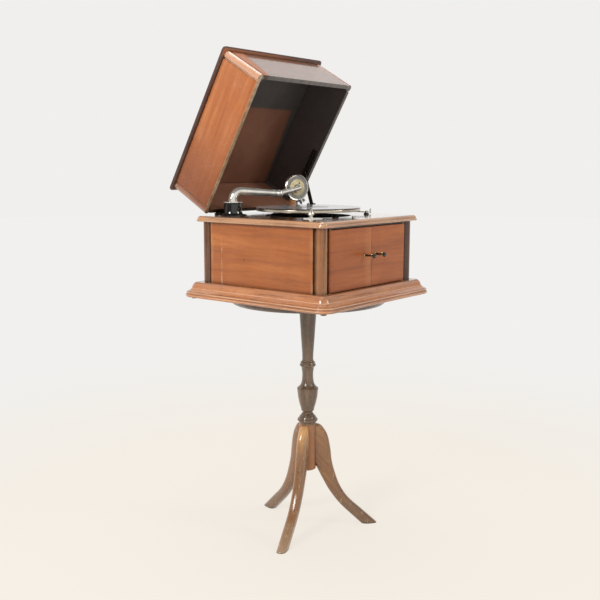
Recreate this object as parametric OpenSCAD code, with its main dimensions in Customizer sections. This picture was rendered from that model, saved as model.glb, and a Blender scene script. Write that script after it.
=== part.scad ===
// Wind-up table gramophone with a hinged lid, on a turned tripod stand.
// Millimetres. Origin on the floor under the column's axis, front towards -Y,
// crank side towards +X. The lid is drawn propped open, as it is played.

/* [Stand] */
// Floor to the underside of the cabinet
stand_h = 596; // [540:0.5:660]
// Column axis to the tip of each toe
toe_r = 180; // [160:1:220]
// Height at which the legs meet the column
leg_h = 270; // [240:1:300]
// Width of a leg across its swept face
leg_w = 25; // [16:0.5:30]
// Turn of the tripod from the cabinet's centre line, in degrees
stand_turn = -13.5; // [-30:0.5:30]
// Radius of the column where the legs are jointed
hub_r = 21; // [18:0.5:26]
// Bottom of the column above the floor
hub_bottom = 152; // [130:1:170]
// Diameter of the stand's round top board
disc_d = 384; // [300:2:400]
// Thickness of the stand's round top board
disc_t = 16.5; // [12:0.5:22]
// Radius of the column's tenon in the top board
tenon_r = 15; // [10:0.5:18]
// Height of the column's tenon
tenon_h = 10; // [4:0.5:10]

/* [Cabinet] */
// Width and depth of the cabinet's body
body_w = 363; // [340:1:390]
// Height of the plinth moulding
plinth_h = 34.5; // [28:0.5:44]
// How far the plinth stands out from the body
plinth_out = 38.5; // [30:0.1:46]
// Corner radius of the plinth at its widest
plinth_round = 33; // [30:1:44]
// Height of the body between plinth and motor board
body_h = 145.5; // [140:0.5:170]
// Thickness of the side and back panels
panel_t = 14; // [9:0.5:18]
// Radius of the round corner columns
post_r = 12; // [9:0.5:14]
// Depth of the panels' faces behind the columns
panel_set_back = 2; // [0.5:0.5:4]
// Thickness of the base board
base_t = 12; // [8:0.5:16]
// Radius of the four button feet
foot_r = 8; // [5:0.5:10]
// Height of the button feet
foot_h = 5; // [3:0.5:8]

/* [Motor board] */
// How far the motor board overhangs the body
board_out = 13; // [8:0.5:18]
// Thickness of the motor board
board_t = 13; // [10:0.5:18]
// Corner radius of the motor board
board_round = 16; // [12:1:24]

/* [Doors] */
// Thickness of a door
door_t = 14; // [11:0.5:16]
// Gap between the doors, and round them
door_gap = 0.8; // [0.4:0.1:1.5]
// Where the doors meet, from the centre line
door_split = 8; // [-20:1:20]
// Height of the doors
door_h = 137.5; // [132:0.5:137.5]
// Radius of the door pivot pins
pivot_r = 2; // [1.5:0.1:2.5]
// Length of a door knob
knob_l = 31; // [20:1:40]
// Radius of a door knob's head
knob_r = 5.5; // [4:0.5:8]
// Distance of the left door's knob from the line where the doors meet
left_knob_in = 26.7; // [14:0.1:40]
// Distance of the right door's knob from the line where the doors meet
right_knob_in = 15.4; // [14:0.1:40]

/* [Lid] */
// Width of the lid's walls over all
lid_w = 352; // [330:1:360]
// Depth of the lid's walls over all
lid_d = 361; // [340:1:368]
// Height of the lid's walls
lid_h = 117; // [100:1:130]
// Thickness of the lid's walls
lid_wall = 10; // [7:0.5:14]
// Thickness of the lid's top
lid_top_t = 12; // [8:0.5:16]
// How far the lid's top overhangs its walls
lid_out = 8; // [4:0.5:12]
// Corner radius of the lid's top
lid_round = 9; // [8.5:0.5:16]
// Radius of the lid's corner columns
lid_post_r = 9; // [6:0.5:12]
// Gap between the closed lid and the motor board
lid_gap = 2; // [1.8:0.1:3]
// Angle at which the lid is propped open, in degrees
lid_open = 60; // [45:1:66]
// Length of each lid hinge
hinge_l = 50; // [30:1:70]
// Radius of the lid hinges' knuckles
knuckle_r = 2.2; // [1.8:0.1:2.4]

/* [Lid stay] */
// Length of the stay arm between its pivot and its pin
stay_l = 90; // [85:0.5:95]
// Width of the stay arm
stay_w = 10; // [7:0.5:11]
// Thickness of the stay arm
stay_t = 2.5; // [1.5:0.1:3]
// Radius of the stay's pivot and pin
stay_pin_r = 2; // [1.5:0.1:2.5]

/* [Turntable] */
// Diameter of the record
record_d = 254; // [250:1:256]
// Thickness of the record
record_t = 2; // [1.6:0.1:3]
// How far the record reaches past the platter's edge
record_lap = 1.5; // [1:0.1:4]
// Depth of the platter's rim
platter_rim = 7; // [5:0.5:9]
// Gap between the motor board and the platter's rim
platter_gap = 11.5; // [10:0.5:16]
// Radius of the spindle above the record
spindle_r = 3.58; // [3.5:0.01:3.6]
// Height of the spindle's tip above the record
spindle_tip = 9; // [8:0.5:12]

/* [Tone arm] */
// Arm's pivot to the left of the spindle
arm_left = 128.5; // [126:0.5:131]
// Arm's pivot behind the spindle
arm_behind = 128.5; // [126:0.5:131]
// Pivot to needle tip, seen from above
arm_reach = 190; // [187:1:193]
// Heading of the needle from the pivot, in degrees
arm_heading = -22.4; // [-28:0.1:-12]
// Radius of the arm base's flange
base_flange_r = 34; // [32:1:36]
// Height of the arm base
base_h = 31; // [28:0.5:32]
// Radius of the arm's upright stem
stem_r = 13; // [11:0.5:14]
// Height of the arm tube's centre line above the board, at the elbow
arm_rise = 58; // [57:0.5:62]
// Radius of the arm tube at the elbow
tube_r1 = 10.4; // [9:0.2:11]
// Radius of the arm tube at the gooseneck
tube_r2 = 7.4; // [7:0.1:8]
// Wall of the arm tube
tube_wall = 1.2; // [0.8:0.1:1.5]
// Downward slope of the arm tube, in degrees
arm_dip = 3.5; // [1:0.5:5]
// Pivot to the end of the arm tube
tube_end = 104; // [98:1:110]

/* [Sound box] */
// Radius of the sound box
box_r = 32; // [30:0.5:34]
// Thickness of the sound box
box_t = 12; // [10:0.5:14]
// Height of the sound box's centre above the needle's tip
box_rise = 44.5; // [42:0.1:46]
// How far the needle's tip trails the sound box's centre
needle_trail = 22; // [16:0.5:24]
// Needle tip's clearance above the record
needle_gap = 0.2; // [0.1:0.05:0.4]

/* [Motor] */
// Height of the motor's shafts below the motor board's underside
shaft_drop = 57.5; // [57:0.5:60]
// Tooth module of the barrel's gear and its pinion
barrel_mod = 1.1; // [1:0.05:1.1]
// Teeth on the spring barrel
barrel_teeth = 72; // [66:1:72]
// Teeth on the lay shaft's pinion
pinion_teeth = 12; // [12:1:13]
// Tooth module of the crown wheel and the spindle's pinion
crown_mod = 1.25; // [1.2:0.05:1.3]
// Teeth on the crown wheel
crown_teeth = 54; // [50:2:54]
// Tooth module of the spindle wheel and the governor's pinion
wheel_mod = 0.9; // [0.9:0.05:0.95]
// Teeth on the spindle wheel
wheel_teeth = 84; // [80:1:86]
// Teeth on the governor's pinion
gov_teeth = 10; // [10:1:12]
// Radius of the spring barrel
barrel_r = 34; // [30:0.5:35]
// Length of the spring barrel
barrel_l = 33; // [28:0.5:34]
// Radius of the winding arbor
arbor_r = 4; // [3.5:0.1:4.2]
// Turns of the mainspring
spring_turns = 9; // [6:1:10]

/* [Crank] */
// Reach of the crank from its shaft to its grip
crank_reach = 84; // [70:1:90]
// Rest angle of the crank below the horizontal, in degrees
crank_rest = 90; // [0:5:90]
// Length of the crank's grip
grip_l = 52; // [40:1:60]
// Radius of the crank's grip
grip_r = 10; // [8:0.5:12]

/* [Fits] */
// Radial running clearance of pins and shafts
run_fit = 0.05; // [0.03:0.01:0.08]
// Radial clearance of pieces that are fixed together
seat_fit = 0.05; // [0.02:0.01:0.08]
// Radial clearance of the stay's pin in its slot
slot_fit = 0.9; // [0.8:0.1:1.2]
// Play between meshing teeth, along the pitch line
backlash = 0.45; // [0.3:0.05:0.5]

/* [Hidden] */
$fn = 64;

// Colours
walnut = [0.36, 0.20, 0.11];
mahogany = [0.62, 0.33, 0.18];
dark_wood = [0.27, 0.16, 0.10];
nickel = [0.80, 0.79, 0.76];
steel = [0.55, 0.56, 0.58];
brass = [0.72, 0.56, 0.26];
japan_black = [0.07, 0.07, 0.08];
cast_green = [0.18, 0.22, 0.20];
shellac = [0.06, 0.06, 0.06];
ivory = [0.88, 0.84, 0.72];

// Levels, from the floor up
disc_z = stand_h - disc_t;
plinth_top = stand_h + plinth_h;
body_top = plinth_top + body_h;
deck_z = body_top + board_t;
platter_d = record_d - 2 * record_lap;
platter_top = deck_z + platter_gap + platter_rim;
record_top = platter_top + record_t;

// Place of the arm's pivot on the motor board
arm_at = [-arm_left, arm_behind];

// Cabinet in plan, as half widths
body_hw = body_w / 2;
face_hw = body_hw - panel_set_back;
post_c = body_hw - post_r;
post_block = 20.5;
post_inner = body_hw - 8 - post_block;
plinth_c = body_hw + plinth_out - plinth_round;
plinth_inner = face_hw - panel_t - 1.3;
door_front = -face_hw;
stop_y = door_front + door_t + 2;
frame_t = 10;
frame_bar = 12;
mouth_y = stop_y + frame_t;

// ---------------------------------------------------------------- helpers

// A box between two opposite corners
module span_box(a, b) {
    translate([min(a.x, b.x), min(a.y, b.y), min(a.z, b.z)])
        cube([abs(a.x - b.x), abs(a.y - b.y), abs(a.z - b.z)]);
}

// A round bar from a to b, r1 thick at a and r2 at b
module round_bar(a, b, r1, r2) {
    v = b - a;
    translate(a)
        rotate([0, acos(v.z / norm(v)), atan2(v.y, v.x)])
            cylinder(h = norm(v), r1 = r1, r2 = r2);
}

// A point of a smooth curve through p1 and p2
function spline_point(p0, p1, p2, p3, t) =
    0.5 * (2 * p1 + (p2 - p0) * t + (2 * p0 - 5 * p1 + 4 * p2 - p3) * t * t
           + (3 * p1 - p0 - 3 * p2 + p3) * t * t * t);

// A smooth curve through all the points, n steps to a stretch
function smooth(p, n) = concat(
    [for (i = [0:len(p) - 2], k = [0:n - 1])
        spline_point(p[max(i - 1, 0)], p[i], p[i + 1], p[min(i + 2, len(p) - 1)], k / n)],
    [p[len(p) - 1]]);

// Points of an arc about c
function arc(c, r, a0, a1, n) =
    [for (i = [0:n]) c + r * [cos(a0 + (a1 - a0) * i / n), sin(a0 + (a1 - a0) * i / n)]];

// Lays an extrusion along X: its own x goes to Y, y to Z and z to X
module along_x(x0) {
    translate([x0, 0, 0]) rotate([90, 0, 90]) children();
}

// A bar of moulding at distance c from the middle, on the side towards +X.
// The profile's x is measured out from c.
module mould_side(c, len, profile) {
    translate([c, 0, 0])
        rotate([90, 0, 0])
            linear_extrude(height = len, center = true) polygon(profile);
}

// Turned corner of the same moulding, from angle a0 through sweep degrees
module mould_corner(cx, cy, a0, sweep, profile) {
    translate([cx, cy, 0])
        rotate([0, 0, a0])
            rotate_extrude(angle = sweep) polygon(profile);
}

// A rectangular slab with a moulded edge and round corners
module moulded_slab(w, d, t, round_r, profile) {
    cx = w / 2 - round_r;
    cy = d / 2 - round_r;
    translate([-cx, -cy, 0]) cube([2 * cx, 2 * cy, t]);
    mould_side(cx, 2 * cy, profile);
    rotate([0, 0, 180]) mould_side(cx, 2 * cy, profile);
    rotate([0, 0, 90]) mould_side(cy, 2 * cx, profile);
    rotate([0, 0, -90]) mould_side(cy, 2 * cx, profile);
    mould_corner(cx, cy, 0, 90, profile);
    mould_corner(-cx, cy, 90, 90, profile);
    mould_corner(-cx, -cy, 180, 90, profile);
    mould_corner(cx, -cy, 270, 90, profile);
}

// Half-angle of a gear tooth at radius r
function tooth_angle(teeth, mod, r) =
    let (pitch_r = teeth * mod / 2,
         base_r = pitch_r * cos(20),
         a = acos(base_r / max(r, base_r)),
         play = backlash / 4 / pitch_r * 180 / PI)
    90 / teeth - play + (tan(20) - 20 * PI / 180 - tan(a) + a * PI / 180) * 180 / PI;

// Outline of a spur gear with one tooth centred on the x axis
module gear_outline(teeth, mod) {
    pitch_r = teeth * mod / 2;
    root = pitch_r - 1.2 * mod;
    tip = pitch_r + 0.95 * mod;
    rs = [root, max(root, pitch_r * cos(20)) + 0.01, pitch_r, pitch_r + 0.55 * mod, tip];
    polygon([for (i = [0:teeth - 1])
        each concat(
            [for (r = rs) r * [cos(i * 360 / teeth - tooth_angle(teeth, mod, r)),
                               sin(i * 360 / teeth - tooth_angle(teeth, mod, r))]],
            [for (k = [len(rs) - 1:-1:0])
                rs[k] * [cos(i * 360 / teeth + tooth_angle(teeth, mod, rs[k])),
                         sin(i * 360 / teeth + tooth_angle(teeth, mod, rs[k]))]])]);
}

module gear(teeth, mod, h) {
    linear_extrude(height = h) gear_outline(teeth, mod);
}

// ------------------------------------------------------------------ stand

// Half profile of the turned column, radius and height, from the hub upwards.
// The heights are measured from the top of the legs.
column_top = disc_z - leg_h;
column_beads = concat(
    [[hub_r, -2], [hub_r, 4.6]],
    arc([21.2, 10], 4.3, -75, 75, 8),
    smooth([[21.8, 15.6], [19.9, 19.2], [17.3, 21.8]], 3),
    arc([12.8, 24.9], 1.9, 60, -60, 5),
    smooth([[12.6, 29.5], [13.9, 31.8], [16, 34.6]], 3),
    smooth([[16.4, 36], [16.9, 40], [19.3, 47.6], [21.9, 57.9], [23.9, 68.2], [25.2, 78.5],
            [26, 86.5]], 3),
    smooth([[26.6, 88.6], [26.3, 91.2], [23.4, 93.8], [20, 96.8], [17, 101.5], [14.8, 109.2],
            [13.8, 119.4], [13.7, 129.6], [14.5, 136.5], [15.4, 142]], 3),
    [[16.4, 144.6]],
    arc([17.4, 149.8], 2.9, -65, 62, 6),
    arc([16.2, 156], 2.1, -50, 60, 5),
    smooth([[15.2, 159.8], [13.8, 163.2], [13.8, 172.8], [14.3, 182.8], [15.6, 200.6],
            [17.1, 222], [18.3, 242], [19.7, 260.8], [20.9, 281]], 3));

module stand_column() {
    color(walnut)
        rotate_extrude()
            polygon(concat(
                [[0, hub_bottom], [hub_r - 2, hub_bottom], [hub_r, hub_bottom + 2]],
                [for (p = column_beads) [p.x, p.y + leg_h]],
                [[21, disc_z], [tenon_r, disc_z], [tenon_r, disc_z + tenon_h],
                 [0, disc_z + tenon_h]]));
}

// Outer and inner edges of a leg: share of the way out to the toe, share of the height
leg_outer = [[-0.02, 1], [0.078, 0.98], [0.155, 0.92], [0.2, 0.855], [0.236, 0.744],
             [0.259, 0.63], [0.314, 0.507], [0.392, 0.386], [0.527, 0.263],
             [0.751, 0.137], [1, 0]];
leg_inner = [[-0.05, 0.9], [-0.05, 0.84], [-0.05, 0.775], [-0.05, 0.72], [-0.045, 0.645],
             [0.019, 0.567], [0.115, 0.453], [0.226, 0.335], [0.398, 0.2],
             [0.639, 0.059], [0.744, 0]];
leg_steps = 3;
leg_sides = 18;

function leg_edge(shape) =
    [for (p = smooth(shape, leg_steps)) [hub_r + p.x * (toe_r - hub_r), p.y * leg_h]];

// Signed power, which squares up a circle into a rounded section
function soft_power(v, e) = sign(v) * pow(abs(v), e);

module leg(turn) {
    outer = leg_edge(leg_outer);
    inner = leg_edge(leg_inner);
    n = len(outer);
    m = leg_sides;
    pts = [for (i = [0:n - 1], k = [0:m - 1])
        let (mid = (outer[i] + inner[i]) / 2,
             half = (outer[i] - inner[i]) / 2,
             a = 360 * k / m,
             s = soft_power(cos(a), 0.75),
             w = soft_power(sin(a), 0.75) * leg_w / 2 * (i == 0 ? 0.75 : 1))
        [mid.x + half.x * s, w, mid.y + half.y * s]];
    sides = [for (i = [0:n - 2], k = [0:m - 1])
        let (a = i * m + k, b = i * m + (k + 1) % m)
        each [[a, b, a + m], [b, b + m, a + m]]];
    color(walnut)
        rotate([0, 0, stand_turn + turn])
            difference() {
                polyhedron(points = pts,
                           faces = concat([[for (k = [m - 1:-1:0]) k]], sides,
                                          [[for (k = [0:m - 1]) (n - 1) * m + k]]));
                cylinder(h = leg_h * 1.1, r = hub_r + seat_fit);
            }
}

module leg_1() { leg(90); }
module leg_2() { leg(210); }
module leg_3() { leg(330); }

// Screws that hold the cabinet on the stand, on a circle
screw_circle = 120;
screw_r = 2;
screw_turns = [45, 135, 225, 315];

module screw_places() {
    for (a = screw_turns)
        rotate([0, 0, a]) translate([screw_circle, 0, 0]) children();
}

module stand_top() {
    color(dark_wood)
        difference() {
            translate([0, 0, disc_z])
                rotate_extrude($fn = 128)
                    polygon([[0, 0], [disc_d / 2 - 6, 0], [disc_d / 2 - 2, 4],
                             [disc_d / 2, 8], [disc_d / 2, disc_t - 2],
                             [disc_d / 2 - 1.5, disc_t], [0, disc_t]]);
            translate([0, 0, disc_z - 1]) cylinder(h = tenon_h + 1.2, r = tenon_r + seat_fit);
            screw_places()
                translate([0, 0, disc_z - 1]) cylinder(h = disc_t + 2, r = screw_r + seat_fit);
        }
}

screw_tip = stand_h + base_t - 3;

module wood_screws() {
    color(steel)
        screw_places() {
            translate([0, 0, disc_z - 2.2])
                rotate_extrude()
                    polygon([[0, 0], [3.2, 0], [5, 1.2], [5, 2.2], [screw_r, 2.2],
                             [screw_r, screw_tip - 3 - disc_z], [0, screw_tip - disc_z]]);
        }
}

// ---------------------------------------------------------------- cabinet

module base_board() {
    color(dark_wood)
        difference() {
            translate([-plinth_inner, -plinth_inner, stand_h])
                cube([2 * plinth_inner, 2 * plinth_inner, base_t]);
            screw_places()
                translate([0, 0, stand_h - 1])
                    cylinder(h = screw_tip - stand_h + 1.2, r = screw_r + seat_fit);
        }
}

// Plinth moulding: ledge, ogee, reed and bead; x is measured from the corner's centre
ledge = plinth_round - plinth_out + 14.5;
plinth_profile = concat(
    [[0, 0], [plinth_round - 3, 0]],
    arc([plinth_round - 4, 4], 4, -75, 60, 8),
    [[plinth_round - 2.4, 8.2]],
    arc([plinth_round - 4.2, 10.4], 2.2, -50, 62, 5),
    [[plinth_round - 5.2, 12.9]],
    smooth([[plinth_round - 5.4, 13.6], [plinth_round - 10.5, 15.9], [plinth_round - 14.8, 19.8],
            [plinth_round - 16.8, 24.2], [plinth_round - 19.4, 29.6], [ledge, plinth_h - 1]], 4),
    [[ledge - 1, plinth_h], [0, plinth_h]]);

// One side of the plinth, mitred at both ends
mitre_gap = 0.08;

module plinth_side() {
    c = plinth_c;
    i = plinth_inner;
    linear_extrude(height = plinth_h) polygon([[i, -i], [c, -c], [c, c], [i, i]]);
    mould_side(c, 2 * c, plinth_profile);
    mould_corner(c, c, 0, 45, plinth_profile);
    mould_corner(c, -c, -45, 45, plinth_profile);
}

module plinth_mouldings() {
    color(mahogany)
        for (a = [0, 90, 180, 270])
            translate([0, 0, stand_h])
                rotate([0, 0, a]) translate([mitre_gap, 0, 0]) plinth_side();
}

foot_in = 25;

module cabinet_feet() {
    f = body_hw + plinth_out - foot_in;
    color(japan_black)
        for (x = [-f, f], y = [-f, f])
            translate([x, y, stand_h - foot_h])
                rotate_extrude()
                    polygon([[0, 0], [foot_r - 2, 0], [foot_r, foot_h * 0.5],
                             [foot_r, foot_h], [0, foot_h]]);
}

module corner_posts() {
    color(walnut)
        for (a = [0, 90, 180, 270])
            rotate([0, 0, a])
                translate([0, 0, plinth_top]) {
                    translate([post_c, post_c, 0]) cylinder(h = body_h, r = post_r);
                    translate([post_inner, post_inner, 0])
                        cube([post_block, post_block, body_h]);
                }
}

// A plain panel between two posts, on the side towards +X
module side_board() {
    span_box([face_hw - panel_t, -post_inner, plinth_top], [face_hw, post_inner, body_top]);
}

shaft_z = body_top - shaft_drop;
arbor_y = (barrel_teeth + pinion_teeth) * barrel_mod / 2;
bush_r = 9;

module side_panel_left() {
    color(mahogany) rotate([0, 0, 180]) side_board();
}

module side_panel_right() {
    color(mahogany)
        difference() {
            side_board();
            translate([face_hw - panel_t - 1, arbor_y, shaft_z])
                rotate([0, 90, 0]) cylinder(h = panel_t + 2, r = bush_r + seat_fit);
        }
}

module back_panel() {
    color(mahogany) rotate([0, 0, 90]) side_board();
}

// Stop frame behind the doors, with a fillet rail over them
rail_t = 5;

module front_frame() {
    color(dark_wood) {
        difference() {
            span_box([-post_inner, stop_y, plinth_top], [post_inner, stop_y + frame_t, body_top]);
            span_box([-post_inner + frame_bar, stop_y - 1, plinth_top + 8],
                     [post_inner - frame_bar, stop_y + frame_t + 1, body_top - frame_bar]);
        }
        span_box([-post_inner, door_front + 1.5, body_top - rail_t],
                 [post_inner, stop_y + 1, body_top]);
    }
}

board_profile = concat(
    [[0, 0], [board_round - 1.5, 0]],
    arc([board_round - 2.2, 2.2], 2.2, -70, 70, 6),
    [[board_round - 2, 4.9]],
    smooth([[board_round - 2.3, 6.4], [board_round - 3.6, 9.6], [board_round - 6.6, 12.2],
            [board_round - 8.5, board_t]], 4),
    [[0, board_t]]);

// Places of the motor's three bolts, from the spindle
bolt_spots = [[8, -75], [70, 50], [-70, 50]];
bolt_r = 2.5;

module bolt_places() {
    for (p = bolt_spots)
        translate([p.x, p.y, 0]) children();
}

// A point at radius r from the spindle, at angle a
function about(r, a) = r * [cos(a), sin(a)];

// The speed regulator stands in front of the record, to the left
speed_knob_r = 7.4;
knob_gap = 2.3;
knob_at = about(record_d / 2 + knob_gap + speed_knob_r, -139.27);
rod_r = 3;
throat_r = 16;
bushing_r = 9;

module motor_board() {
    color(mahogany)
        difference() {
            translate([0, 0, body_top])
                moulded_slab(body_w + 2 * board_out, body_w + 2 * board_out, board_t,
                             board_round, board_profile);
            translate([0, 0, body_top - 1]) cylinder(h = board_t + 2, r = bushing_r);
            translate([arm_at.x, arm_at.y, body_top - 1])
                cylinder(h = board_t + 2, r = throat_r + seat_fit);
            translate([knob_at.x, knob_at.y, body_top - 1])
                cylinder(h = board_t + 2, r = rod_r + run_fit);
            bolt_places()
                translate([0, 0, body_top - 1])
                    cylinder(h = board_t + 2, r = bolt_r + seat_fit);
        }
}

// ------------------------------------------------------------------- horn

horn_t = 4;
// Sections of the horn: y, lowest x, highest x, lowest z, highest z
horn_cuts = [
    [mouth_y, -post_inner + 8, post_inner - 8, plinth_top + 4, body_top - 8],
    [-60, -122, 108, plinth_top - 6, shaft_z - 46],
    [96, -150, -62, plinth_top - 10, plinth_top + 24],
    [151, -150, -104, plinth_top - 10, plinth_top + 20]];

// A thin slice of the horn, shrunk by g on every side
module horn_slice(s, g, dy) {
    translate([s[1] + g, s[0] + dy, s[3] + g])
        cube([s[2] - s[1] - 2 * g, 0.01, s[4] - s[3] - 2 * g]);
}

module horn() {
    throat_floor = horn_cuts[3][4] - horn_t - 1;
    color(cast_green)
        difference() {
            union() {
                for (i = [0:2])
                    hull() {
                        horn_slice(horn_cuts[i], 0, 0);
                        horn_slice(horn_cuts[i + 1], 0, 0);
                    }
                translate([arm_at.x, arm_at.y, throat_floor])
                    cylinder(h = deck_z - throat_floor, r = throat_r);
            }
            for (i = [0:2])
                hull() {
                    horn_slice(horn_cuts[i], horn_t, i == 0 ? -0.5 : 0);
                    horn_slice(horn_cuts[i + 1], horn_t, i == 2 ? -horn_t : 0.005);
                }
            translate([arm_at.x, arm_at.y, throat_floor - 1])
                cylinder(h = deck_z - throat_floor + 2, r = throat_r - horn_t);
        }
}

// ------------------------------------------------------------------ doors

pivot_in = 5;
pivot_y = door_front + pivot_in;
pivot_x = post_inner - door_gap - pivot_in;
door_z = plinth_top + 1.5;
bore_depth = 9;
bevel = 1.6;

// A door whose pivot is at x = 0 and whose free edge is at x = w
module door(w) {
    difference() {
        translate([0, 0, door_z])
            linear_extrude(height = door_h)
                polygon([[0, -pivot_in], [w, -pivot_in], [w - bevel, door_t - pivot_in],
                         [-pivot_in, door_t - pivot_in], [-pivot_in, 0],
                         each arc([0, 0], pivot_in, 189, 261, 8)]);
        translate([0, 0, door_z - 1]) cylinder(h = bore_depth + 1, r = pivot_r + run_fit);
        translate([0, 0, door_z + door_h - bore_depth])
            cylinder(h = bore_depth + 1, r = pivot_r + run_fit);
    }
}

module left_door() {
    color(mahogany)
        translate([-pivot_x, pivot_y, 0]) door(pivot_x + door_split - door_gap / 2);
}

module right_door() {
    color(mahogany)
        translate([pivot_x, pivot_y, 0])
            mirror([1, 0, 0]) door(pivot_x - door_split - door_gap / 2);
}

module pivot_pin(z, up) {
    translate([0, 0, z])
        mirror([0, 0, up ? 0 : 1]) {
            cylinder(h = 1, r = pivot_r + 1.8);
            cylinder(h = bore_depth, r = pivot_r);
        }
}

module door_pivot_pins() {
    color(brass)
        for (s = [-1, 1])
            translate([s * pivot_x, pivot_y, 0]) {
                pivot_pin(plinth_top, true);
                pivot_pin(body_top - rail_t, false);
            }
}

knob_z = plinth_top + 75;

// A turned knob that stands out towards -Y from the door's face
module knob_shape(x) {
    l = knob_l;
    translate([x, door_front, knob_z])
        rotate([90, 0, 0])
            rotate_extrude()
                polygon(concat(
                    [[0, 0], [4.6, 0], [4.8, 1], [3.6, 2]],
                    smooth([[3.1, 3], [2.4, l * 0.3], [2.6, l * 0.48], [4, l * 0.6]], 4),
                    [[4.6, l * 0.61], [4.6, l * 0.66]],
                    smooth([[3.6, l * 0.68], [knob_r, l * 0.8], [knob_r * 0.8, l * 0.94],
                            [0.01, l]], 5),
                    [[0, l]]));
}

module left_knob() { color(dark_wood) knob_shape(door_split - left_knob_in); }
module right_knob() { color(dark_wood) knob_shape(door_split + right_knob_in); }

// -------------------------------------------------------------------- lid

rim_z = deck_z + lid_gap;
lid_back_y = 178;
lid_front_y = lid_back_y - lid_d;
hinge_y = lid_back_y + 3;
hinge_z = deck_z + knuckle_r + 0.3;
lid_hw = lid_w / 2;
lid_post_in = 2 * lid_post_r + 1;

// Draws the closed lid's pieces at the angle at which the lid is propped
module propped() {
    translate([0, hinge_y, hinge_z])
        rotate([-lid_open, 0, 0])
            translate([0, -hinge_y, -hinge_z]) children();
}

lid_profile = concat(
    [[0, 0], [lid_round - 6, 0], [lid_round - 3, 1.2]],
    arc([lid_round - 3, 5], 3, -80, 70, 7),
    [[lid_round - 3.4, 8.4], [lid_round - 5, 9], [lid_round - 6, 11],
     [lid_round - 8, lid_top_t], [0, lid_top_t]]);

module lid_top() {
    color(mahogany)
        propped()
            translate([0, (lid_front_y + lid_back_y) / 2, rim_z + lid_h])
                moulded_slab(lid_w + 2 * lid_out, lid_d + 2 * lid_out, lid_top_t,
                             lid_round, lid_profile);
}

lid_set_back = 1;

module lid_left() {
    color(mahogany)
        propped()
            span_box([-lid_hw + lid_set_back, lid_front_y + lid_post_in, rim_z],
                     [-lid_hw + lid_set_back + lid_wall, lid_back_y - lid_post_in,
                      rim_z + lid_h]);
}

module lid_right() {
    color(mahogany)
        propped()
            span_box([lid_hw - lid_set_back, lid_front_y + lid_post_in, rim_z],
                     [lid_hw - lid_set_back - lid_wall, lid_back_y - lid_post_in,
                      rim_z + lid_h]);
}

module lid_front() {
    color(mahogany)
        propped()
            span_box([-lid_hw + lid_post_in, lid_front_y + lid_set_back, rim_z],
                     [lid_hw - lid_post_in, lid_front_y + lid_set_back + lid_wall,
                      rim_z + lid_h]);
}

module lid_back() {
    color(mahogany)
        propped()
            span_box([-lid_hw + lid_post_in, lid_back_y - lid_set_back, rim_z],
                     [lid_hw - lid_post_in, lid_back_y - lid_set_back - lid_wall,
                      rim_z + lid_h]);
}

// A round column at each corner of the lid, on an L-shaped block
module lid_posts() {
    mid = (lid_front_y + lid_back_y) / 2;
    in = lid_post_in;
    t = lid_wall + lid_set_back;
    color(walnut)
        propped()
            for (sx = [0, 1], sy = [0, 1])
                translate([0, mid, rim_z])
                    mirror([sx, 0, 0]) mirror([0, sy, 0])
                        translate([lid_hw, lid_d / 2, 0]) {
                            translate([-lid_post_r, -lid_post_r, 0])
                                cylinder(h = lid_h, r = lid_post_r);
                            difference() {
                                translate([-in, -in, 0]) cube([in - 5, in - 5, lid_h]);
                                translate([-in - 1, -in - 1, -1])
                                    cube([in + 1 - t, in + 1 - t, lid_h + 2]);
                            }
                        }
}

// Butt hinges: the knuckle in the middle belongs to the lid
hinge_xs = [-110, 110];
middle_l = 17.4;
leaf_t = 0.9;
hinge_pin_r = 1.2;
leaf_w = 10;

module knuckle(x0, l) {
    translate([x0, hinge_y, hinge_z]) rotate([0, 90, 0]) cylinder(h = l, r = knuckle_r);
}

module lid_hinge_lower() {
    side_l = (hinge_l - middle_l) / 2 - 0.3;
    color(brass)
        for (x = hinge_xs) {
            span_box([x - hinge_l / 2, lid_back_y - leaf_w, deck_z],
                     [x + hinge_l / 2, lid_back_y, deck_z + leaf_t]);
            for (x0 = [x - hinge_l / 2, x + hinge_l / 2 - side_l]) {
                knuckle(x0, side_l);
                span_box([x0, lid_back_y - 1, deck_z], [x0 + side_l, hinge_y, deck_z + leaf_t]);
            }
            translate([x - hinge_l / 2, hinge_y, hinge_z])
                rotate([0, 90, 0]) cylinder(h = hinge_l, r = hinge_pin_r);
        }
}

module lid_hinge_upper() {
    color(brass)
        propped()
            for (x = hinge_xs)
                difference() {
                    union() {
                        knuckle(x - middle_l / 2, middle_l);
                        span_box([x - middle_l / 2, lid_back_y - 1, rim_z - leaf_t],
                                 [x + middle_l / 2, hinge_y, rim_z]);
                        span_box([x - hinge_l / 2, lid_back_y - leaf_w, rim_z - leaf_t],
                                 [x + hinge_l / 2, lid_back_y - 0.4, rim_z]);
                    }
                    translate([x - middle_l, hinge_y, hinge_z])
                        rotate([0, 90, 0])
                            cylinder(h = 2 * middle_l, r = hinge_pin_r + run_fit);
                }
}

// ---------------------------------------------------------------- lid stay

// The arm turns on a bracket on the deck; its pin slides in a track on the lid.
// Its angle falls by stay_ratio degrees for each degree that the lid opens.
stay_ratio = 1.805;
stay_pivot = [hinge_y - 70, hinge_z + 13.5];
stay_tilt = 72.7;
track_rise = 12.2;
lid_inner_x = lid_hw - lid_set_back - lid_wall;
stay_x = lid_inner_x - 9;
track_t = 4.5;

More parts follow.
